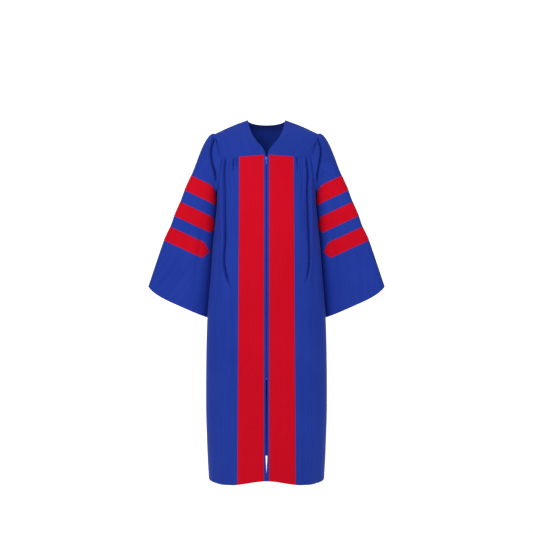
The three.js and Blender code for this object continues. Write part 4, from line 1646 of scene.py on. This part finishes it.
@dataclass(frozen=True)
class Lap:
    """How a sheet's first row goes on under the cloth that it is sewn to."""

    reach: float
    sink: float
    row: float = 0.0

    def add(self, surface: ClothSurface, columns: Array, points: Array) -> Array:
        """Adds a row in front of a sheet's first one.

        Args:
            surface: surface that the sheet is laid on.
            columns: its column values.
            points: its rows of points.

        Returns:
            The rows with one more.
        """
        out = surface.normal(columns[None, :], np.full((1, len(columns)), self.row))
        first = points[:1] - unit(points[1:2] - points[:1]) * self.reach - out * self.sink
        return np.concatenate([first, points])


@dataclass(frozen=True)
class Laid:
    """Sheet of cloth laid on a surface: its columns and rows, and its lift at each point."""

    surface: ClothSurface
    columns: Array
    rows: Array
    lift: Array | float
    lap: Lap | None = None

    def grid(self, side: Side = Side.LEFT, wraps: bool = False) -> Grid:
        """Points of the sheet.

        Args:
            side: right for a sheet that is mirrored, with its columns turned round.
            wraps: whether the last column joins the first.

        Returns:
            The grid.
        """
        rows = self.rows if self.rows.ndim > 1 else self.rows[:, None]
        points = self.surface.at(self.columns[None, :], rows, self.lift)
        if self.lap:
            points = self.lap.add(self.surface, self.columns, points)
        if side is Side.RIGHT:
            points = points[:, ::-1] * np.array((-1, 1, 1))
        return Grid(points, wraps)


class Pattern:
    """Every cut surface of the gown, each given on its left."""

    def __init__(self) -> None:
        """Draws the surfaces."""
        self.back = BackPanel(BACK_GATHERS)
        self.fronts = {Side.LEFT: FrontPanel(LEFT_CREASES), Side.RIGHT: FrontPanel(RIGHT_CREASES)}
        cut = YokeCut()
        self.front_yoke = cut.front(self.fronts[Side.LEFT])
        self.back_yoke = cut.back(self.back)
        yokes = (self.front_yoke, self.back_yoke)
        folds = {Side.LEFT: (LEFT_HEAD, LEFT_SLEEVE_CREASES), Side.RIGHT: (RIGHT_HEAD, RIGHT_SLEEVE_CREASES)}
        self.sleeves = {side: Sleeve(self.fronts[side], self.back, yokes, *folds[side]) for side in Side}


@dataclass
class ClothPiece:
    """One sheet of cloth of the gown, in place of one node."""

    node: str
    grid: Grid
    dye: Dye
    held: Held
    cut: tuple[float, float]
    thickness: float = CUT.cloth

    def make(self) -> bpy.types.Object:
        """Returns:
            The finished piece.
        """
        piece = Bench.sheet(f"{self.node}_cloth", self.grid, self.thickness)
        Bench.dress(piece, self.dye, "gown", self.node)
        area = round(self.grid.area(), 4)
        flat = (self.cut[0] * MM, self.cut[1] * MM)
        points, whole = len(piece.data.vertices), flat[0] * flat[1]
        LOG.info("%s: %d points, %.4f m2 of %.4f", piece.name, points, area, whole)
        return piece


@dataclass
class BodyCloth:
    """Yokes, fronts, back, facings and bands, with the cut size of each."""

    pattern: Pattern
    blue: Dye
    red: Dye
    rows: int = 190
    length: float = 1136.0
    front_cut: tuple[float, float] = (350, 1165)
    front_width: float = 210.0
    front_columns: int = 128
    under_band: int = 12
    facing_cut: tuple[float, float] = (12, 1136)
    band_cut: tuple[float, float] = (93, 1136)
    band_width: float = 88.0
    band_columns: int = 16
    band_lift: float = 0.75
    band_edge: float = 0.35
    back_cut: tuple[float, float] = (790, 1150)
    back_width: float = 620.0
    back_columns: int = 190
    yoke_depth: float = 140.0
    yoke_rows: int = 34
    front_yoke_cut: tuple[float, float] = (190, 165)
    front_yoke_width: float = 150.0
    front_yoke_columns: int = 38
    back_yoke_cut: tuple[float, float] = (400, 170)
    back_yoke_columns: int = 92
    tuck: float = -0.55
    armhole_tuck: float = -0.2
    over_seam: float = 0.4
    over_shoulder: float = 0.1
    lap: Lap = Lap(2.6, 0.5)

    FACING = Table(
        ("column", "lift", "over_zip"),
        (
            (-2.0, -0.5, 1.4),
            (-1.96, 0.1, 1.6),
            (-1.85, 0.4, 1.6),
            (-1.6, 0.5, 1.4),
            (-1.3, 0.45, 0.9),
            (-1.1, 0.3, 0.4),
            (-1.0, 0.1, 0.1),
        ),
    )

    def steps(self) -> Array:
        """Row values of the long panels."""
        return edged_steps(self.rows, self.length)

    def front(self, side: Side) -> ClothPiece:
        """One front panel, which goes on under the band.

        Args:
            side: side of the gown.

        Returns:
            The piece.
        """
        rows, band = self.steps(), np.linspace(-1.0, 0.0, self.under_band, endpoint=False)
        columns = np.concatenate([band, edged_steps(self.front_columns, self.front_width)])
        lift = rim(Run(rows, self.length, self.tuck), Run(columns, self.front_width, 0.0, self.tuck))
        sheet = Laid(self.pattern.fronts[side], columns, rows, lift, self.lap)
        return ClothPiece(f"front_{side.label}", sheet.grid(side), self.blue, Held.GATHERED, self.front_cut)

    def facing(self, side: Side) -> ClothPiece:
        """One strip beside the zip, with a rolled inner edge that lies higher over the zip.

        Args:
            side: side of the gown.

        Returns:
            The piece.
        """
        panel, rows = self.pattern.fronts[side], self.steps()
        columns, low, raised = np.array(self.FACING.rows).T
        lift = mix(low[None, :], raised[None, :], panel.over_zip(rows)[:, None])
        grid = Laid(panel, columns, rows, lift).grid(side)
        return ClothPiece(f"zip_facing_{side.label}", grid, self.blue, Held.HUNG, self.facing_cut)

    def band(self, side: Side) -> ClothPiece:
        """One red band, raised a little between its sewn edges.

        Args:
            side: side of the gown.

        Returns:
            The piece.
        """
        rows, columns = self.steps(), edged_steps(self.band_columns, self.band_width)
        drop = self.band_edge - self.band_lift
        edges = rim(Run(rows, self.length, drop), Run(columns, self.band_width, drop, drop))
        grid = Laid(self.pattern.fronts[side], columns - 1, rows, self.band_lift + edges).grid(side)
        return ClothPiece(f"front_band_{side.label}", grid, self.red, Held.HUNG, self.band_cut)

    def back(self) -> ClothPiece:
        """The whole back.

        Returns:
            The piece.
        """
        rows, shares = self.steps(), edged_steps(self.back_columns, self.back_width)
        lift = rim(Run(rows, self.length, self.tuck), Run(shares, self.back_width, self.tuck, self.tuck))
        sheet = Laid(self.pattern.back, 1 - 2 * shares, rows, lift, self.lap)
        return ClothPiece("back", sheet.grid(), self.blue, Held.GATHERED, self.back_cut)

    def front_yoke(self, side: Side) -> ClothPiece:
        """One front yoke, rolled over the seam below it.

        Args:
            side: side of the gown.

        Returns:
            The piece.
        """
        width = self.front_yoke_width
        rows = edged_steps(self.yoke_rows, self.yoke_depth)
        columns = edged_steps(self.front_yoke_columns, width)
        down = Run(rows, self.yoke_depth, self.over_shoulder, self.over_seam)
        lift = rim(down, Run(columns, width, 0.0, self.armhole_tuck))
        grid = Laid(self.pattern.front_yoke, columns, rows, lift).grid(side)
        return ClothPiece(f"yoke_front_{side.label}", grid, self.blue, Held.LAID, self.front_yoke_cut)

    def back_yoke(self) -> ClothPiece:
        """The back yoke, tucked under the front ones at the shoulders.

        Returns:
            The piece.
        """
        width = self.back_yoke_cut[0]
        rows = edged_steps(self.yoke_rows, self.yoke_depth)
        columns = edged_steps(self.back_yoke_columns, width)
        down = Run(rows, self.yoke_depth, -self.over_shoulder, self.over_seam)
        lift = rim(down, Run(columns, width, self.armhole_tuck, self.armhole_tuck))
        grid = Laid(self.pattern.back_yoke, columns, rows, lift).grid()
        return ClothPiece("yoke_back", grid, self.blue, Held.LAID, self.back_yoke_cut)

    def pieces(self) -> list[ClothPiece]:
        """All sheets of the body.

        Returns:
            The pieces in order.
        """
        found = [self.back(), self.back_yoke()]
        for side in Side:
            found += [self.front_yoke(side), self.front(side), self.facing(side), self.band(side)]
        return found


@dataclass
class SleeveCloth:
    """One sleeve and its three bars."""

    sleeve: Sleeve
    side: Side
    blue: Dye
    red: Dye
    cut: tuple[float, float] = (650, 620)
    columns: int = 180
    head_length: float = 150.0
    head_rows: int = 44
    low_rows: int = 78
    tuck: float = -0.2
    tuck_reach: float = 0.012
    lap: Lap = Lap(1.8, 0.3, -0.99)
    bar_cut: float = 55
    bar_lift: float = 0.8
    bar_edge: float = 0.35
    bar_columns: int = 118
    bar_rows: int = 9
    bar_near: tuple[float, float] = (0.9, 2.4)
    round_steps: int = 721

    def tube(self) -> ClothPiece:
        """The sleeve, open at the armhole and the cuff, with its seam under the arm.

        Returns:
            The piece.
        """
        degrees = np.linspace(180.0, 540.0, self.columns, endpoint=False)
        head = edged_steps(self.head_rows, self.head_length)[:-1] - 1
        rows = np.concatenate([head, np.linspace(0.0, Sleeve.CUFF, self.low_rows)])
        lift = self.tuck * bell(rows + 1, self.tuck_reach)[:, None]
        sheet = Laid(self.sleeve, degrees, rows, lift, self.lap)
        node = f"sleeve_{self.side.label}"
        return ClothPiece(node, sheet.grid(self.side, wraps=True), self.blue, Held.GATHERED, self.cut)

    def degrees_at(self, ring: int) -> Callable[[Array], Array]:
        """Finds degrees by the distance from the outer fold, along the middle of a bar.

        Args:
            ring: ring of the bar.

        Returns:
            Function from distances to degrees.
        """
        degrees = np.linspace(-180.0, 180.0, self.round_steps)
        points = self.sleeve.at(degrees, np.full_like(degrees, ring + 0.5))
        run = Path.walk(points)
        run = run - run[self.round_steps // 2]
        return lambda distance: np.interp(distance, run, degrees)

    def bar(self, number: int) -> ClothPiece:
        """One bar, folded round the outer edge and pointed at both ends.

        Args:
            number: place of the bar from the top, from 0.

        Returns:
            The piece.
        """
        bar = BARS[number]
        total = bar.front + bar.back
        distance = edged_steps(self.bar_columns, total) * total - bar.front
        distance = np.sort(np.concatenate([distance, (bar.POINT - bar.front, bar.back - bar.POINT)]))
        shares = edged_steps(self.bar_rows, bar.WIDTH, self.bar_near)
        rows = bar.ring + 0.5 + (shares[:, None] - 0.5) * bar.height(distance)[None, :]
        drop = self.bar_edge - self.bar_lift
        along = Run((distance + bar.front) / total, total, drop, drop)
        lift = self.bar_lift + rim(Run(shares, bar.WIDTH, drop, drop), along)
        grid = Laid(self.sleeve, self.degrees_at(bar.ring)(distance), rows, lift).grid(self.side)
        node = f"sleeve_bar_{self.side.label}_{number + 1}"
        return ClothPiece(node, grid, self.red, Held.LAID, (total, self.bar_cut))

    def pieces(self) -> list[ClothPiece]:
        """The sleeve and its bars."""
        return [self.tube(), *[self.bar(number) for number in range(len(BARS))]]


@dataclass
class Zip:
    """Closed coil zip with its tapes, slider, pull tab and bottom stop."""

    coil: Dye
    enamel: Dye
    top: float = -157.0
    bottom: float = -922.0
    pitch: float = 1.5
    wire: float = 0.34
    coil_x: float = 0.95
    reach: float = 1.15
    rise: float = 0.6
    proud: float = 0.1
    turn_steps: int = 10
    wire_sides: int = 5
    wire_angle: float = 60.0
    tape_marks: tuple[float, ...] = (-CUT.chain_half, -1.4, 0.0, 1.4, CUT.chain_half)
    tape_rows: int = 60
    tape_behind: float = 0.75
    tape_thickness: float = 0.4
    metal_edge: float = 0.22
    metal_angle: float = 40.0
    bevel_angle: float = 35.0
    flat_angle: float = 2.0
    weld: float = 0.01

    @staticmethod
    def front_y(z: Array) -> Array:
        """Place of the cloth along the middle of the front."""
        return -BODY.depth(z, Face.FRONT)

    def row_of_teeth(self, sign: int) -> tuple[Array, list[list[int]]]:
        """Points and faces of one coil.

        Args:
            sign: 1 for the left coil, -1 for the right one.

        Returns:
            Points, and the corner indices of the faces.
        """
        turns = (self.top - self.bottom) / self.pitch
        count = int(turns * self.turn_steps)
        angle = np.linspace(0.0, turns * 2 * math.pi, count) + (0 if sign > 0 else math.pi)
        z = np.linspace(self.top, self.bottom, count)
        x = sign * (self.coil_x - self.reach * np.cos(angle))
        y = self.front_y(z) - self.proud - self.rise * np.sin(angle)
        line = np.stack([x, y, z], axis=-1)
        way = unit(np.gradient(line, axis=0))
        first = unit(np.cross(way, np.array((0.0, 0.0, 1.0))))
        second = np.cross(way, first)
        around = np.arange(self.wire_sides) * 2 * math.pi / self.wire_sides
        cosine, sine = np.cos(around)[None, :, None], np.sin(around)[None, :, None]
        ring = first[:, None] * cosine + second[:, None] * sine
        grid = Grid(line[:, None] + self.wire * ring, wraps=True)
        faces = [list(face) for face in grid.quads()[:, ::-1]]
        last = count * self.wire_sides - 1
        faces += [list(range(self.wire_sides)), list(range(last, last - self.wire_sides, -1))]
        return grid.points.reshape(-1, 3), faces

    def teeth(self) -> bpy.types.Object:
        """Both coils on their tape, in place of the chain.

        Returns:
            The finished piece.
        """
        parts = [Bench.mesh(f"zip_coil_{sign}", *self.row_of_teeth(sign)) for sign in (1, -1)]
        z, x = np.linspace(self.top, self.bottom, self.tape_rows)[:, None], np.array(self.tape_marks)[None, :]
        tape = np.stack(np.broadcast_arrays(x, self.front_y(z) + self.tape_behind, z), axis=-1)
        parts.append(Bench.sheet("zip_tape", Grid(tape), self.tape_thickness))
        Bench.take(*parts)
        bpy.ops.object.join()
        piece = parts[0]
        piece.name = "zip_coils"
        Bench.smooth(piece, self.wire_angle)
        Bench.dress(piece, self.coil, "gown", "zip_chain")
        LOG.info("%s: %d faces", piece.name, len(piece.data.polygons))
        return piece

    def metal(self, nodes: dict[str, bpy.types.Object], node: str, body: str) -> bpy.types.Object:
        """Copy of a metal node with its edges rounded, in its place.

        Args:
            nodes: the frame's nodes by name.
            node: name of the node.
            body: body that it rides on.

        Returns:
            The finished piece.
        """
        Bench.take(nodes[node])
        bpy.ops.object.duplicate()
        piece = bpy.context.view_layer.objects.active
        piece.name = f"{node}_enamelled"
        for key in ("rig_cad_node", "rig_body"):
            if key in piece:
                del piece[key]
        piece.parent = None
        Bench.edit(
            piece,
            (bpy.ops.mesh.remove_doubles, {"threshold": self.weld * MM}),
            (bpy.ops.mesh.dissolve_limited, {"angle_limit": math.radians(self.flat_angle)}),
        )
        limit = {"limit_method": "ANGLE", "angle_limit": math.radians(self.bevel_angle)}
        Bench.apply(piece, "BEVEL", width=self.metal_edge * MM, segments=2, **limit)
        Bench.smooth(piece, self.metal_angle)
        Bench.dress(piece, self.enamel, body, node)
        LOG.info("%s: %d faces", piece.name, len(piece.data.polygons))
        return piece


@dataclass
class Stitching:
    """Rows of lockstitch laid on cloth, joined into one piece for each thread."""

    name: str
    thread: Dye
    pitch: float = 3.4
    length: float = 2.5
    thick: float = 0.42
    start: float = 0.5
    sink: float = 0.12
    rise: float = 0.06
    sides: int = 5
    angle: float = 60.0
    rows: list[tuple[Array, Array]] = field(default_factory=list)

    MARKS = (0.0, 0.28, 0.72, 1.0)

    def run(self, points: Array, normals: Array, side: Side = Side.LEFT) -> None:
        """Adds a seam along a line of points.

        Args:
            points: line on the cloth's outer face, in millimetres.
            normals: direction out of the cloth at each point.
            side: side that the line is mirrored to.
        """
        mirror = np.array((side.value, 1, 1))
        self.rows.append((points * mirror, normals * mirror))

    def shapes(self) -> tuple[Array, list[list[int]]]:
        """Points and faces of every stitch, each a short thread with a point at both ends.

        Returns:
            Points, and the corner indices of the faces.
        """
        n = self.sides
        around = np.arange(n) * 2 * math.pi / n
        points: list[Array] = []
        faces: list[list[int]] = []
        for line, out in self.rows:
            run = Path.walk(line)
            for start in np.arange(self.start, run[-1] - self.length, self.pitch):
                marks = start + self.length * np.array(self.MARKS)
                centre = np.stack([np.interp(marks, run, axis) for axis in line.T], axis=-1)
                up = unit(np.stack([np.interp(start, run, axis) for axis in out.T], axis=-1))
                beside = unit(np.cross(unit(centre[-1] - centre[0]), up))
                ring = np.cos(around)[:, None] * beside + np.sin(around)[:, None] * up
                first = len(points)
                points.append(centre[0] - up * self.sink)
                for middle in centre[1:3]:
                    points.extend(middle + up * self.rise + ring * self.thick / 2)
                points.append(centre[-1] - up * self.sink)
                for k in range(1, n + 1):
                    here, after = first + k, first + 1 + k % n
                    faces.append([first, after, here])
                    faces.append([here, after, after + n, here + n])
                    faces.append([here + n, after + n, first + 1 + 2 * n])
        return np.array(points), faces

    def make(self) -> bpy.types.Object:
        """Builds all the rows as one piece.

        Returns:
            The finished piece.
        """
        points, faces = self.shapes()
        piece = Bench.mesh(self.name, points, faces)
        Bench.edit(piece, (bpy.ops.mesh.normals_make_consistent, {"inside": False}))
        Bench.smooth(piece, self.angle)
        Bench.dress(piece, self.thread, "gown")
        LOG.info("%s: %d faces", self.name, len(faces))
        return piece


@dataclass
class Seams:
    """Where the gown is stitched, by the place of each seam and its lift above the cloth."""

    pattern: Pattern
    blue: Stitching
    red: Stitching
    samples: int = 420
    edge: float = 2.2
    band_widths: tuple[float, float] = (86, 88)
    band_lift: float = 1.0
    long_rows: tuple[float, float] = (0.003, 0.997)
    facing_column: float = -1.22
    facing_lift: float = 0.7
    hem: float = 18.0
    front_length: float = 1136
    front_hem: tuple[float, float] = (0.01, 0.995)
    back_length: float = 1127
    back_hem: tuple[float, float] = (0.995, -0.995)
    hem_lift: float = 0.28
    yoke_depth: float = 135
    front_yoke: tuple[float, float] = (0.02, 0.99)
    back_yoke: tuple[float, float] = (0.01, 0.99)
    yoke_lift: float = 0.42
    neck_column: float = 4.4 / 140
    neck_rows: tuple[float, float] = (0.0, 0.99)
    cuff: float = 18.0
    cuff_ring: float = 95
    turned_lift: float = 0.3
    bar_lift: float = 1.05
    bar_steps: int = 200
    point_lift: float = 1.0
    point_steps: int = 30

    def stitch(self, thread: Stitching, surface: ClothSurface, columns: Place, rows: Place,
               lift: float, side: Side = Side.LEFT) -> None:
        """Lays one seam.

        Args:
            thread: thread that it is sewn with.
            surface: surface that it is on.
            columns: column values, or the first and last of a straight seam.
            rows: row values, in the same way.
            lift: height above the middle of the cloth.
            side: side of the gown.
        """
        places = [np.linspace(*p, self.samples) if isinstance(p, tuple) else p for p in (columns, rows)]
        columns, rows = np.broadcast_arrays(*places)
        thread.run(surface.at(columns, rows, lift), surface.normal(columns, rows, surface.folded), side)

    def body(self) -> None:
        """Bands, facings, yoke seams and hem."""
        yoke_row = 1 - self.edge / self.yoke_depth
        inner, outer = self.band_widths
        for side, panel in self.pattern.fronts.items():
            for column in (-1 + self.edge / inner, -self.edge / outer):
                self.stitch(self.red, panel, column, self.long_rows, self.band_lift, side)
            self.stitch(self.blue, panel, self.facing_column, self.long_rows, self.facing_lift, side)
            hem_row = 1 - self.hem / self.front_length
            self.stitch(self.blue, panel, self.front_hem, hem_row, self.hem_lift, side)
            yoke = self.pattern.front_yoke
            self.stitch(self.blue, yoke, self.front_yoke, yoke_row, self.yoke_lift, side)
            self.stitch(self.blue, yoke, self.neck_column, self.neck_rows, self.turned_lift, side)
        hem_row = 1 - self.hem / self.back_length
        self.stitch(self.blue, self.pattern.back, self.back_hem, hem_row, self.hem_lift)
        self.stitch(self.blue, self.pattern.back_yoke, self.back_yoke, yoke_row, self.yoke_lift)

    def sleeves(self, cloth: dict[Side, SleeveCloth]) -> None:
        """Cuffs, and the long edges and points of the bars.

        Args:
            cloth: sleeve of each side.
        """
        inset = self.edge / Bar.WIDTH
        for side, sleeve in self.pattern.sleeves.items():
            cuff_row = Sleeve.CUFF - self.cuff / self.cuff_ring
            self.stitch(self.blue, sleeve, (0.0, 360.0), cuff_row, self.turned_lift, side)
            for bar in BARS:
                find = cloth[side].degrees_at(bar.ring)
                walk = find(np.linspace(bar.POINT - bar.front, bar.back - bar.POINT, self.bar_steps))
                for row in (bar.ring + inset, bar.ring + 1 - inset):
                    self.stitch(self.red, sleeve, walk, row, self.bar_lift, side)
                for end in (-bar.front, bar.back):
                    inward = -np.sign(end)
                    out = np.linspace(end + inward * bar.POINT, end + inward * self.edge, self.point_steps)
                    for way in (-1, 1):
                        row = bar.ring + 0.5 + way * bar.height(out) * (0.5 - inset)
                        self.stitch(self.red, sleeve, find(out), row, self.point_lift, side)

    def make(self, cloth: dict[Side, SleeveCloth]) -> None:
        """Lays every seam and builds the threads.

        Args:
            cloth: sleeve of each side.
        """
        self.body()
        self.sleeves(cloth)
        self.blue.make()
        self.red.make()


@dataclass(frozen=True)
class Lamp:
    """Soft square lamp: its place, the point that it faces, its size and its watts."""

    name: str
    place: tuple[float, float, float]
    aim: tuple[float, float, float]
    size: float
    power: float

    def make(self) -> None:
        """Adds the lamp to the scene."""
        data = bpy.data.lights.new(self.name, "AREA")
        data.size = self.size
        data.energy = self.power
        lamp = bpy.data.objects.new(self.name, data)
        lamp.location = self.place
        way = np.array(self.aim) - np.array(self.place)
        flat = math.hypot(way[0], way[1])
        lamp.rotation_euler = (math.atan2(flat, -way[2]), 0.0, math.atan2(-way[0], way[1]))
        bpy.context.scene.collection.objects.link(lamp)


@dataclass
class Studio:
    """Camera, white floor that curves up behind, soft lights and plain screen colours."""

    eye: tuple[float, float, float] = (0.0, -2.7886, -0.536)
    lens: float = 51.6
    sensor: float = 36.0
    floor: float = -2.4
    bend: float = 0.9
    bend_steps: int = 24
    back_wall: float = 2.6
    reach: float = 7.0
    height: float = 4.0
    angle: float = 60.0
    paper: Colour = (0.93, 0.93, 0.93, 1.0)
    mottle: float = 1.3
    shadow: float = 0.985
    roughness: float = 0.9
    glow: float = 0.6
    sky: float = 0.24

    LAMPS = (
        Lamp("key_lamp", (-0.8, -2.0, 0.5), (0.0, 0.0, -0.3), 1.2, 24.0),
        Lamp("fill_lamp", (1.3, -2.2, 0.3), (0.0, 0.0, -0.3), 1.4, 10.0),
        Lamp("paper_lamp", (0.0, 0.9, 1.6), (0.0, 2.6, -0.3), 3.0, 18.0),
    )

    def camera(self) -> None:
        """Sets the camera level, looking at the front."""
        data = bpy.data.cameras.new("front_camera")
        data.lens = self.lens
        data.sensor_width = self.sensor
        camera = bpy.data.objects.new("front_camera", data)
        camera.location = self.eye
        camera.rotation_euler = (QUARTER, 0.0, 0.0)
        bpy.context.scene.collection.objects.link(camera)
        bpy.context.scene.camera = camera

    def sweep(self) -> None:
        """Builds the floor and the wall behind as one sheet of paper."""
        start = self.back_wall - self.bend
        profile = [(-self.reach, self.floor)]
        for turn in np.linspace(0.0, QUARTER, self.bend_steps):
            rise = self.bend * (1 - math.cos(turn))
            profile.append((start + self.bend * math.sin(turn), self.floor + rise))
        profile.append((self.back_wall, self.floor + self.height))
        sides = (-self.reach, 0.0, self.reach)
        points = np.array([[(x, y, z) for x in sides] for y, z in profile]) / MM
        paper = Bench.mesh("paper_sweep", points.reshape(-1, 3), Grid(points).quads())
        Bench.smooth(paper, self.angle)
        nodes = Nodes("pale_paper")
        tone = nodes.noise(nodes.place(), self.mottle, 2.0)
        paper.data.materials.append(nodes.finish({
            "Base Color": nodes.blend(tone, toned(self.paper, self.shadow), self.paper),
            "Roughness": self.roughness,
            "Emission Color": self.paper,
            "Emission Strength": self.glow,
        }))

    def lights(self) -> None:
        """Sets an even white sky and three soft lamps."""
        world = bpy.data.worlds.new("studio_sky")
        world.use_nodes = True
        background = world.node_tree.nodes["Background"]
        background.inputs["Color"].default_value = (1.0, 1.0, 1.0, 1.0)
        background.inputs["Strength"].default_value = self.sky
        bpy.context.scene.world = world
        for lamp in self.LAMPS:
            lamp.make()

    def make(self) -> None:
        """Sets up the whole studio."""
        self.camera()
        self.sweep()
        self.lights()
        bpy.context.scene.view_settings.view_transform = "Standard"


def main() -> None:
    """Builds the gown around its frame."""
    logging.basicConfig(level=logging.INFO, format="%(name)s %(message)s")
    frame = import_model()
    Studio().make()
    pattern = Pattern()
    blue, red = Dye(BLUE.material(), "blue_cloth"), Dye(RED.material(), "red_cloth")
    pieces = BodyCloth(pattern, blue, red).pieces()
    sleeves = {side: SleeveCloth(pattern.sleeves[side], side, blue, red) for side in Side}
    for side in Side:
        pieces += sleeves[side].pieces()
    for piece in pieces:
        piece.make()
    fastener = Zip(Dye(COIL.material(), "zip_coil"), Dye(ZINC.material(), "zip_metal"))
    fastener.teeth()
    for node, body in (("zip_bottom_stop", "gown"), ("zip_slider", "gown"), ("zip_pull_tab", "pull_tab")):
        fastener.metal(frame["nodes"], node, body)
    blue_thread = Stitching("blue_stitches", Dye(BLUE_THREAD.material(), "blue_cloth"))
    red_thread = Stitching("red_stitches", Dye(RED_THREAD.material(), "red_cloth"))
    Seams(pattern, blue_thread, red_thread).make(sleeves)


if __name__ == "__main__":
    main()
